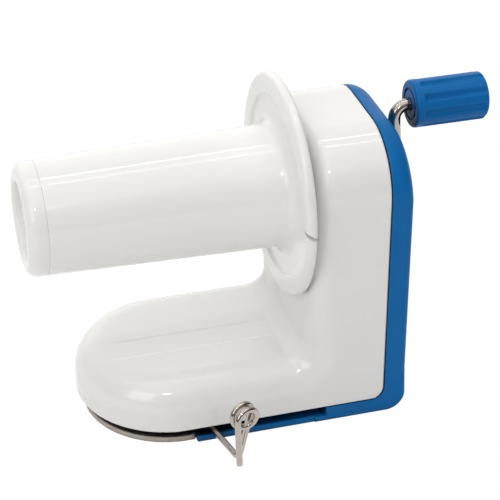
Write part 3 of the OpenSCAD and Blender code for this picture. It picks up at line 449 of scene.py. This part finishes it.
WALL = 2.4
ARCH_R = 25.0
WALL_GAP = 4.6
FOOT_EDGE_R, FRONT_EDGE_R, TOP_EDGE_R = 13.0, 7.0, 5.0
FOOT_H, EDGE_BLEND = 27.5, 27.5
FOOT_FILLET_R = 7.0
FLOOR_T = 2.6
REAR_EDGE_R, LOW_EDGE_R, ARCH_EDGE_R = 3.0, 1.2, 9.3
LOW_EDGE_TOP, FULL_EDGE_Z = 6.0, 20.0
REAR_CORNER_R = 8.0
SEAM_CORNER_R = 5.0
SEAM, SEAM_EDGE = 0.35, 0.7
EDGE = 0.5
FIT_GAP = 0.02
SLOT_X = -24.0
LIP_INSET, LIP_TONGUE, LIP_T = 0.8, 4.6, 1.4
SINK_W, SINK_T = 12.0, 1.2
SEAT_LEN, SEAT_W, SEAT_DEPTH, SEAT_EDGE, SEAT_RAMP = 70.0, 11.5, 0.35, 0.7, 12.0
SEAT_X, SEAT_Y = -73.0, -5.0
SUN_HOLE_R = 6.85
ROD_BOSS_R, ROD_HOLE_R = 6.5, 4.07
SCREW_R, HEAD_R, HEAD_H, SHANK_LEN = 1.5, 2.8, 2.0, 10.0
SCREW_GAP, SCREW_DROP = 0.25, 0.2
BOSS_R, BOSS_DROP = 4.5, 1.0
SCREW_SEAT = REAR_DEPTH - 2 * HEAD_H
UPPER_SCREW, LOWER_SCREW = (HALF_W - 23.5, BODY_H - 9.0), (HALF_W - 8.0, FOOT_H + 7.0)
SHELL_SCREWS = [(side * y, z) for side in (-1, 1) for y, z in (UPPER_SCREW, LOWER_SCREW)]
TRAY_SCREW = (30.8 - TRAY_REACH, HALF_W - 15.0)
TOE_SCREW = (TOE_X - HALF_W / 2, 0.0)


def arch_outline(y, z):
    """Distance to the housing's section: straight sides and round top corners."""
    across, above = np.abs(y) - (HALF_W - ARCH_R), z - (BODY_H - ARCH_R)
    corner = np.hypot(np.maximum(across, 0), np.maximum(above, 0))
    return corner + np.minimum(np.maximum(across, above), 0) - ARCH_R


def up_the_arch(z):
    """Share of the way from the round corners' feet to the housing's top."""
    return np.clip((z - BODY_H) / ARCH_R + 1, 0, 1)


def front_body(x, y, z):
    """Distance to the front shell's outside: the leaning upright, the foot and the fillet between them."""
    wall = WALL_GAP - ((x - SPINDLE_AT[0]) * math.cos(LEAN) - (z - SPINDLE_AT[2]) * math.sin(LEAN))
    across = np.clip(0.5 - (np.abs(y - SEAT_Y) - SEAT_W / 2) / SEAT_EDGE, 0, 1)
    along = np.clip((SEAT_LEN / 2 - np.abs(x - SEAT_X)) / SEAT_RAMP, 0, 1)
    top = FOOT_H - SEAT_DEPTH * across * along
    profile = either(wall, z - top, FOOT_FILLET_R)
    plan = np.hypot(np.minimum(x - TOE_X, 0), y) - HALF_W
    rise = np.clip((z - FOOT_H) / EDGE_BLEND, 0, 1)
    edge = FOOT_EDGE_R + (FRONT_EDGE_R - FOOT_EDGE_R) * rise
    edge = edge + (TOP_EDGE_R - FRONT_EDGE_R) * up_the_arch(z)
    return both(profile, np.maximum(arch_outline(y, z), plan), edge)


def front_shell(x, y, z):
    """Distance to the front shell: a wall inside that outside, with the hole for the sun gear's neck."""
    body = front_body(x, y, z)
    neck = np.hypot(y, (x - SPINDLE_AT[0]) * math.sin(LEAN) + (z - SPINDLE_AT[2]) * math.cos(LEAN))
    hollow = both(np.maximum(body, -(body + WALL)), SUN_HOLE_R - neck, EDGE / 2)
    return both(hollow, both(x + 0 * z, BASE_H - z, SEAM_CORNER_R), EDGE)


def screw_hole(body, away, depth):
    """Cuts a screw's hole, with a recess for its head to a depth, into a distance field."""
    recess = np.maximum(away - HEAD_R - SCREW_GAP, depth)
    return np.maximum(both(body, -recess, EDGE / 2), SCREW_R + SCREW_GAP - away)


def rear_shell(x, y, z):
    """Distance to the rear shell with its tray: the outside, then the hollow, the slot and the holes."""
    back_face = both(x - REAR_DEPTH, -z + 0 * x, REAR_CORNER_R)
    rise = np.clip((z - LOW_EDGE_TOP) / (FULL_EDGE_Z - LOW_EDGE_TOP), 0, 1)
    edge = LOW_EDGE_R + (REAR_EDGE_R - LOW_EDGE_R) * rise
    edge = edge + (ARCH_EDGE_R - REAR_EDGE_R) * up_the_arch(z)
    outside = both(arch_outline(y, z), back_face, edge)
    seam = either(SEAM - x, z - (BASE_H - SEAM), SEAM_CORNER_R)
    outside = both(outside, np.maximum(seam, -TRAY_REACH - x), SEAM_EDGE)
    lip_y = LIP_INSET - HALF_W
    outside = both(outside, -np.maximum(x - SLOT_X + LIP_TONGUE, y - lip_y), EDGE)
    hollow = both(arch_outline(y, z) + WALL, x - (REAR_DEPTH - WALL), np.maximum(edge - WALL, EDGE))
    cavity = np.maximum(hollow, FLOOR_T - z)
    slot = all_of(x - SLOT_X, FLOOR_T - z, y + 0 * x)
    sink_y = np.abs(y - lip_y - LIP_T - SINK_W / 2) - SINK_W / 2
    sunk = all_of(x - SLOT_X, LIP_T - TRAY_REACH - x, SINK_T - z, sink_y)
    body = both(outside, -np.minimum(np.minimum(cavity, slot), sunk), EDGE)
    pedestal = np.hypot(x - GUIDE_AT[0], y - GUIDE_AT[1]) - (collar_high[0] - collar_low[0]) / 2
    body = np.minimum(body, all_of(pedestal, z - FLOOR_T, SINK_T / 2 - z))
    for sy, sz in SHELL_SCREWS:
        away = np.hypot(y - sy, z - sz)
        body = np.minimum(body, all_of(away - BOSS_R, SEAM - x, x - REAR_DEPTH + BOSS_DROP))
        body = screw_hole(body, away, SCREW_SEAT - x)
    body = screw_hole(body, np.hypot(x - TRAY_SCREW[0], y - TRAY_SCREW[1]), z - FLOOR_T / 2)
    rod = np.hypot(y - CRANK_AT[1], z - CRANK_AT[2])
    body = np.minimum(body, all_of(rod - ROD_BOSS_R, bush_low[0] - x, x - REAR_DEPTH + BOSS_DROP))
    return np.maximum(body, ROD_HOLE_R - rod)


# The rear shell's grid lines lie closer together round the lip of the slot
SHELL_STEP = 0.75
LIP_FINE_TO = (-75.0, -34.0, 8.0)
front_grid = [grid(a, b, SHELL_STEP) for a, b in zip(front_low, front_high)]
rear_grid = [grid(a, b, SHELL_STEP, fine_to) for a, b, fine_to in zip(rear_low, rear_high, LIP_FINE_TO)]
new_piece("front_shell_moulding", skin(front_shell, *front_grid), "housing", "front_shell")
new_piece("rear_shell_moulding", skin(rear_shell, *rear_grid), "housing", "rear_shell")


# Toe pad

SOLE_H, SOLE_EDGE, NECK_INSET = 2.3, 0.6, 3.6
PAD_STEP, PAD_FINE_TO = 0.7, (None, None, 8.0)


def toe_pad(x, y, z):
    """Distance to the toe pad: a round-ended sole, a narrower neck above it and the screw's hole."""
    plan = np.hypot(np.minimum(x - TOE_X, 0), y) - pad_high[1]
    plan = both(plan, x - pad_high[0] + 0 * y, EDGE)
    sole = both(plan, z - SOLE_H, SOLE_EDGE)
    neck = np.maximum(plan + NECK_INSET, z - pad_high[2])
    solid = both(np.minimum(sole, neck), -z + 0 * x, EDGE)
    return screw_hole(solid, np.hypot(x - TOE_SCREW[0], y - TOE_SCREW[1]), z - HEAD_H - SCREW_DROP)


pad_grid = [grid(a, b, PAD_STEP, fine_to) for a, b, fine_to in zip(pad_low, pad_high, PAD_FINE_TO)]
new_piece("toe_pad_moulding", skin(toe_pad, *pad_grid), "housing", "toe_pad")


# Screws

RECESS_LEN, RECESS_W, RECESS_DEPTH = 3.2, 0.85, 1.1
RECESS_TAPER = RECESS_LEN / 6
HEAD_ROUND, SCREW_STEP = 0.45, 0.2


def screw(head_h):
    """Points, quads and normals of a screw that stands on its head's seat, with a cross recess on top."""
    def field(x, y, z):
        away = np.hypot(x, y)
        head = both(away - HEAD_R + 0 * z, np.abs(z - head_h / 2) - head_h / 2, HEAD_ROUND)
        point = np.minimum(z + SHANK_LEN - SCREW_R / 2, 0)
        shank = np.maximum(away - SCREW_R - point, np.abs(z + SHANK_LEN / 2) - SHANK_LEN / 2)
        narrow = np.maximum(head_h - z, 0) * RECESS_TAPER
        arm_x = np.maximum(np.abs(x) - RECESS_LEN / 2 + narrow, np.abs(y) - RECESS_W / 2)
        arm_y = np.maximum(np.abs(y) - RECESS_LEN / 2 + narrow, np.abs(x) - RECESS_W / 2)
        recess = np.maximum(np.minimum(arm_x, arm_y), head_h - RECESS_DEPTH - z)
        return np.maximum(np.minimum(head, shank), -recess)

    across = grid(-HEAD_R, HEAD_R, SCREW_STEP)
    return skin(field, across, across, grid(-SHANK_LEN, head_h, SCREW_STEP))


def placed(shape, turn, places):
    """Copies of a skin, turned by a matrix and set down at several places."""
    points, quads, normals = shape
    count = len(points)
    return (np.concatenate([points @ turn.T + at for at in places]),
            np.concatenate([quads + i * count for i in range(len(places))]),
            np.concatenate([normals @ turn.T] * len(places)))


POINT_BACK = np.array([[0, 0, 1], [0, 1, 0], [-1, 0, 0]])
POINT_DOWN = np.diag([1, -1, -1])
shell_screws = placed(screw(HEAD_H), POINT_BACK, [(SCREW_SEAT, y, z) for y, z in SHELL_SCREWS])
new_piece("shell_screws_cross_head", shell_screws, "housing", "shell_screws")
toe_screw = placed(screw(HEAD_H), POINT_DOWN, [(*TOE_SCREW, HEAD_H + SCREW_DROP)])
tray_screw = placed(screw(FLOOR_T / 2 - SCREW_DROP), POINT_DOWN, [(*TRAY_SCREW, FLOOR_T / 2)])
tray_screw = (tray_screw[0], tray_screw[1] + len(toe_screw[0]), tray_screw[2])
base_screws = tuple(np.concatenate(pair) for pair in zip(toe_screw, tray_screw))
new_piece("base_screws_cross_head", base_screws, "housing", "base_screws")


# Spindle

ROOT_R, TIP_R = 24.3, 22.1
TUBE_WALL = 2.2
FLANGE_BACK = tube_high[0] - SPINDLE_AT[0]
RIM_FRONT = -FLANGE_BACK
RIM_W = 8.0
DISH = RIM_FRONT + 1.2
CAP_X = tube_low[0] - SPINDLE_AT[0]
TIP_X = cap_low[0] - SPINDLE_AT[0]
POCKET_R, POCKET_X = 23.37, -1.3
WEB_BACK, WEB_FRONT = -16.0, -18.5
SLEEVE_R, SLEEVE_X, BORE_R = 6.85, -66.0, 4.57
NOTCH_W, NOTCH_DEPTH, NOTCH_SLANT = 1.4, 4.0, math.radians(32)
NOTCH_WALL = 0.04
SPINDLE_SIDES = 192


def tube_r(x):
    """Outside radius of the tapered tube at a place ahead of the flange's middle."""
    return ROOT_R + (TIP_R - ROOT_R) * (x - DISH) / (TIP_X - DISH)


tube_line = softened([
    (POCKET_R, FLANGE_BACK, 0.4), (FLANGE_R, FLANGE_BACK, 1.5), (FLANGE_R, RIM_FRONT, 1.9),
    (FLANGE_R - RIM_W, RIM_FRONT, 0.9), (FLANGE_R - RIM_W - 1.0, DISH, 1.0), (ROOT_R, DISH, 5.0),
    (tube_r(CAP_X), CAP_X, 0.12), (tube_r(CAP_X) - TUBE_WALL, CAP_X, 0.1),
    (tube_r(WEB_FRONT) - TUBE_WALL, WEB_FRONT, 0.5), (SLEEVE_R, WEB_FRONT, 0.5), (SLEEVE_R, SLEEVE_X, 0.3),
    (BORE_R, SLEEVE_X, 0.2), (BORE_R, WEB_BACK, 0.2), (tube_r(WEB_BACK) - TUBE_WALL, WEB_BACK, 0.5),
    (tube_r(POCKET_X) - TUBE_WALL, POCKET_X, 0.0), (POCKET_R, POCKET_X, 0.0)])

# The yarn notch: close pairs of columns at its sides, which lean across the rim, and a floor between them
half_notch = NOTCH_W / 2 / math.cos(NOTCH_SLANT) / FLANGE_R
wall_turn = NOTCH_WALL / FLANGE_R
even = full_turn(SPINDLE_SIDES)
even = even[np.abs(even - math.pi) > 1.5 * half_notch]
sides_of_notch = [math.pi + s * (half_notch + w) for s in (-1, 1) for w in (0, wall_turn)]
columns = np.sort(np.concatenate([even, sides_of_notch, [math.pi]]))
tube_points, tube_quads = lathe(tube_line, np.zeros(3), columns)
column = np.repeat(columns, len(tube_line))
radius = np.hypot(tube_points[:, 1], tube_points[:, 2])
on_rim = np.clip(radius - (FLANGE_R - RIM_W), 0, 1)
near = np.clip(3 - np.abs(column - math.pi) / (4 * half_notch), 0, 1)
column = column + on_rim * near * math.tan(NOTCH_SLANT) * tube_points[:, 0] / FLANGE_R
in_notch = np.repeat(np.abs(columns - math.pi) < half_notch + wall_turn / 2, len(tube_line))
radius = np.where(in_notch, np.minimum(radius, FLANGE_R - NOTCH_DEPTH), radius)
tube_points[:, 1], tube_points[:, 2] = radius * np.cos(column), radius * np.sin(column)
new_piece("spindle_tube_moulding", (tube_points + SPINDLE_AT, tube_quads), "spindle", "spindle_tube")

CAP_SEAM = 0.05
SPIGOT_LEN = 8.0
SPIGOT_R, SPIGOT_X = tube_r(CAP_X) - TUBE_WALL - FIT_GAP, CAP_X + SPIGOT_LEN
MOUTH_R, MOUTH_DEPTH, MOUTH_WEB = 15.0, 9.0, 2.5
MOUTH_X = TIP_X + MOUTH_DEPTH
cap_line = softened([
    (tube_r(CAP_X), CAP_X - CAP_SEAM, 0.12), (tube_r(TIP_X), TIP_X, 4.2), (MOUTH_R, TIP_X, 1.6),
    (MOUTH_R, MOUTH_X, 1.2), (0.0, MOUTH_X, 0.0), (0.0, MOUTH_X + MOUTH_WEB, 0.0),
    (SPIGOT_R - TUBE_WALL, MOUTH_X + MOUTH_WEB, 0.5), (SPIGOT_R - TUBE_WALL, SPIGOT_X, 0.4),
    (SPIGOT_R, SPIGOT_X, 0.4), (SPIGOT_R, CAP_X - CAP_SEAM, 0.0)])
new_piece("tip_cap_moulding", lathe(cap_line, SPINDLE_AT, full_turn(SPINDLE_SIDES)), "spindle", "tip_cap")


# Crank

ROD_R, ROD_GAP = 2.5, 0.05
ARM_BEHIND = 7.4
ARM_X = REAR_DEPTH + ARM_BEHIND
HUB_BEND_R, GRIP_BEND_R = 5.0, 5.5
ALONG = np.array([1.0, 0.0, 0.0])
hub = CRANK_AT * [0, 1, 1]
arm = (GRIP_AT - CRANK_AT) * [0, 1, 1]
ARM_LEN = np.linalg.norm(arm)
arm /= ARM_LEN
quarter = np.linspace(0, math.pi / 2, 10)


def rod_point(x, reach):
    return hub + x * ALONG + reach * arm


rod_route = [rod_point(x, 0) for x in np.linspace(rod_low[0], ARM_X - HUB_BEND_R, 12)[:-1]]
rod_route += [rod_point(ARM_X - HUB_BEND_R * (1 - math.sin(t)), HUB_BEND_R * (1 - math.cos(t)))
              for t in quarter]
rod_route += [rod_point(ARM_X, d) for d in np.linspace(HUB_BEND_R, ARM_LEN - GRIP_BEND_R, 14)[1:-1]]
rod_route += [rod_point(ARM_X + GRIP_BEND_R * (1 - math.cos(t)), ARM_LEN - GRIP_BEND_R * (1 - math.sin(t)))
              for t in quarter]
rod_route += [rod_point(x, ARM_LEN) for x in np.linspace(ARM_X + GRIP_BEND_R, rod_high[0], 10)[1:]]
new_piece("crank_rod_bent", tube(rod_route, ROD_R, 24), "crank", "crank_rod")

BUSH_R = (bush_high[1] - bush_low[1]) / 2
SLEEVE_OUT = ROD_HOLE_R - FIT_GAP
bush_line = softened([
    (ROD_R + ROD_GAP, bush_low[0], 0.2), (SLEEVE_OUT, bush_low[0], 0.4),
    (SLEEVE_OUT, REAR_DEPTH, 0.0), (BUSH_R, REAR_DEPTH, 0.1),
    (BUSH_R, bush_high[0], 0.35), (ROD_R + ROD_GAP, bush_high[0], 0.3)])
new_piece("crank_bush_turned", lathe(bush_line, hub, full_turn(64)), "housing", "crank_bush_rear")

GRIP_R = (grip_high[2] - grip_low[2]) / 2
GRIP_IN, GRIP_OUT = grip_low[0], grip_high[0]
GRIP_BAND, FLUTE_RUN = 3.4, 0.8
FLUTES, FLUTE_R, FLUTE_DEPTH, FLUTE_TURN = 9, 2.0, 1.0, math.radians(23.5)
SIDES_PER_FLUTE = 24
GROOVE_OUT, GROOVE_IN, GROOVE_DEPTH = 6.5, 5.6, 0.5
POCKET_IN_GRIP, POCKET_DEPTH = 6.02, 8.0
band = GRIP_IN + GRIP_BAND
grip_line = softened([
    (ROD_R + ROD_GAP, GRIP_IN, 0.3), (GROOVE_IN, GRIP_IN, 0.2), (GROOVE_IN, GRIP_IN + GROOVE_DEPTH, 0.1),
    (GROOVE_OUT, GRIP_IN + GROOVE_DEPTH, 0.1), (GROOVE_OUT, GRIP_IN, 0.2), (GRIP_R, GRIP_IN, 1.1),
    *[(GRIP_R, band + share * FLUTE_RUN, 0.0) for share in (-0.3, 0, 0.1, 0.3, 0.6, 1)],
    (GRIP_R, GRIP_OUT, 1.6), (POCKET_IN_GRIP, GRIP_OUT, 0.3), (POCKET_IN_GRIP, GRIP_OUT - POCKET_DEPTH, 0.0),
    (ROD_R + ROD_GAP, GRIP_OUT - POCKET_DEPTH, 0.0)])
grip_points, grip_quads = lathe(grip_line, np.zeros(3), FLUTE_TURN + full_turn(FLUTES * SIDES_PER_FLUTE))
pitch = 2 * math.pi / FLUTES
turn = np.arctan2(grip_points[:, 2], grip_points[:, 1])
off = np.abs((turn - FLUTE_TURN + pitch / 2) % pitch - pitch / 2)
flute_at = GRIP_R + FLUTE_R - FLUTE_DEPTH
aside = flute_at * np.sin(off)
flute = flute_at * np.cos(off) - np.sqrt(np.maximum(FLUTE_R ** 2 - aside ** 2, 0))
started = np.clip((grip_points[:, 0] - band) / FLUTE_RUN, 0, 1)
flute += (1 - np.sqrt(started)) * FLUTE_DEPTH
limit = np.where((aside < FLUTE_R) & (started > 0), flute, GRIP_R)
grip_points[:, 1:] *= np.minimum(1, limit / np.hypot(grip_points[:, 1], grip_points[:, 2]))[:, None]
new_piece("grip_moulding", (grip_points + GRIP_AT * [0, 1, 1], grip_quads), "grip", "grip", sharp=50)

DISC_R, DISC_T, DISC_DROP = 5.98, 2.5, 0.2
disc_line = softened([(0, GRIP_OUT - DISC_T, 0), (DISC_R, GRIP_OUT - DISC_T, 0.2),
                      (DISC_R, GRIP_OUT - DISC_DROP, 0.5), (0, GRIP_OUT, 0)])
new_piece("grip_end_disc", lathe(disc_line, GRIP_AT * [0, 1, 1], full_turn(64)), "grip", "grip_cap")


# Yarn guide

WIRE_R = 1.25
GUIDE_ANGLE = math.radians(13)
GUIDE_REACH, GUIDE_BEND_R, WIRE_START = 30.0, 2.6, 2.85
EYE_LIFT, EYE_SIDE, EYE_R, EYE_PITCH = 21.2, 0.9, 4.45, 3.9
EYE_END, EYE_STEP = 540.0, 7.5
LEG_END, LEG_DRIFT = 6.0, 0.8
arm_z = GUIDE_AT[2]
eye_z = arm_z + EYE_LIFT
leg_tilt = math.atan2(EYE_SIDE, EYE_LIFT) + math.asin(EYE_R / math.hypot(EYE_SIDE, EYE_LIFT))
leg_run = math.sqrt(EYE_SIDE ** 2 + EYE_LIFT ** 2 - EYE_R ** 2)
leg = np.array([math.sin(leg_tilt), 0, math.cos(leg_tilt)])
leg_foot = np.array([0, -GUIDE_REACH, arm_z])
outwards = np.array([0, 1, 0])
eye_turns = np.radians(np.arange(-math.degrees(leg_tilt), EYE_END + 0.1, EYE_STEP))
eye_out = GUIDE_REACH + (eye_turns - eye_turns[0]) / (2 * math.pi) * EYE_PITCH
wire_route = [(0, -d, arm_z) for d in np.arange(WIRE_START, GUIDE_REACH - GUIDE_BEND_R - 0.5, 1.0)]
wire_route += [leg_foot + GUIDE_BEND_R * ((1 - math.sin(t)) * outwards + (1 - math.cos(t)) * leg)
               for t in quarter]
wire_route += [leg_foot + d * leg for d in np.arange(GUIDE_BEND_R + 1, leg_run - 0.5, 1.0)]
wire_route += [(EYE_SIDE + EYE_R * math.cos(t), -out, eye_z + EYE_R * math.sin(t))
               for t, out in zip(eye_turns, eye_out)]
wire_route += [(EYE_SIDE - EYE_R + LEG_DRIFT * (eye_z - z) / (eye_z - LEG_END), -eye_out[-1], z)
               for z in np.linspace(eye_z - 1, LEG_END, 20)]
cos_a, sin_a = math.cos(GUIDE_ANGLE), math.sin(GUIDE_ANGLE)
turned = np.array([[cos_a, sin_a, 0], [-sin_a, cos_a, 0], [0, 0, 1]])
wire_route = np.array(wire_route, float) @ turned + GUIDE_AT * [1, 1, 0]
new_piece("yarn_guide_wire", tube(wire_route, WIRE_R, 20), "guide", "yarn_guide")

POST_R, POST_ROOT, POST_STAND = 2.0, FLOOR_T - 1.0, 0.7
POST_TOP = clip_high[2] + POST_STAND
post_line = softened([(0, POST_ROOT, 0), (POST_R, POST_ROOT, 0), (POST_R, POST_TOP, 0.5), (0, POST_TOP, 0)])
post_points, post_quads = lathe(post_line, np.zeros(3), full_turn(48))
post_points = post_points[:, [1, 2, 0]] + GUIDE_AT * [1, 1, 0]
new_piece("guide_post", (post_points, post_quads), "housing", "rear_shell", beside=True)


# Studio

GLOW = 0.93


def studio_floor():
    """Pale paper floor, which the camera and mirrors see as white with the winder's soft shadow on it."""
    material = bpy.data.materials.new("studio_floor")
    material.use_nodes = True
    tree = material.node_tree
    tree.nodes.clear()
    paper = add(tree, "BsdfDiffuse", {"Color": linear("#EEEEEE")})
    glow = add(tree, "Emission", {"Color": linear("#FFFFFF"), "Strength": 1.04})
    path = add(tree, "LightPath")
    seen = add(tree, "Math", {0: path.outputs["Is Camera Ray"], 1: path.outputs["Is Glossy Ray"]},
               operation="MAXIMUM")
    share = add(tree, "Math", {0: seen.outputs[0], 1: GLOW}, operation="MULTIPLY")
    mix = add(tree, "MixShader", {0: share.outputs[0], 1: paper.outputs[0], 2: glow.outputs[0]})
    add(tree, "OutputMaterial", {"Surface": mix.outputs[0]})
    return material


FLOOR_HALF, FLOOR_Z = 3.0, -0.0003
floor_mesh = bpy.data.meshes.new("studio_floor")
floor_corners = [(x * FLOOR_HALF, y * FLOOR_HALF, FLOOR_Z) for x, y in ((-1, -1), (1, -1), (1, 1), (-1, 1))]
floor_mesh.from_pydata(floor_corners, [], [(0, 1, 2, 3)])
floor_mesh.materials.append(studio_floor())
floor = bpy.data.objects.new("studio_floor", floor_mesh)
bpy.context.collection.objects.link(floor)


def softbox(name, at, aim, size, watts):
    """A rectangular area lamp at a place in metres, aimed at another."""
    lamp = bpy.data.lights.new(name, "AREA")
    lamp.shape = "RECTANGLE"
    lamp.size, lamp.size_y = size
    lamp.energy = watts
    stand = bpy.data.objects.new(name, lamp)
    bpy.context.collection.objects.link(stand)
    stand.location = at
    stand.rotation_euler = (Vector(aim) - Vector(at)).to_track_quat("-Z", "Y").to_euler()


MIDDLE = (-0.05, 0.0, 0.06)
softbox("overhead_tube_rear", (-0.05, 0.28, 1.0), MIDDLE, (1.4, 0.02), 0.9)
softbox("overhead_tube_front", (-0.05, 0.04, 1.0), MIDDLE, (1.4, 0.02), 0.6)
softbox("ceiling_softbox", (-0.1, -0.33, 1.0), (-0.1, -0.33, 0.0), (1.6, 1.2), 3.5)
softbox("front_panel", (-0.26, -0.68, 0.8), MIDDLE, (0.14, 0.04), 0.9)
softbox("left_softbox", (-0.7, -0.55, 0.55), MIDDLE, (0.5, 0.5), 1.7)

# Light tent: a broad glow from each side, given by its axis, its sign and its strength
TENT = {"above": (2, 1, 0.66), "behind": (1, 1, 1.36), "ahead": (1, -1, 0.14), "left": (0, -1, 0.15)}
LOBE = 2.0
world = bpy.data.worlds.new("light_tent")
bpy.context.scene.world = world
world.use_nodes = True
tree = world.node_tree
tree.nodes.clear()
way = add(tree, "SeparateXYZ", {0: add(tree, "TexCoord").outputs["Generated"]})
strength = 0.0
for axis, sign, glow in TENT.values():
    towards = add(tree, "Math", {0: way.outputs[axis], 1: sign}, operation="MULTIPLY")
    lit = add(tree, "Math", {0: towards.outputs[0], 1: 0.0}, operation="MAXIMUM")
    lobe = add(tree, "Math", {0: lit.outputs[0], 1: LOBE}, operation="POWER")
    total = add(tree, "Math", {0: lobe.outputs[0], 1: glow, 2: strength}, operation="MULTIPLY_ADD")
    strength = total.outputs[0]
tent = add(tree, "Background", {"Color": linear("#FFFFFF"), "Strength": strength})
white = add(tree, "Background", {"Color": linear("#FFFFFF"), "Strength": 1.0})
path = add(tree, "LightPath")
mix = add(tree, "MixShader", {0: path.outputs["Is Camera Ray"], 1: tent.outputs[0], 2: white.outputs[0]})
add(tree, "OutputWorld", {"Surface": mix.outputs[0]})

bpy.context.scene.view_settings.view_transform = "Standard"
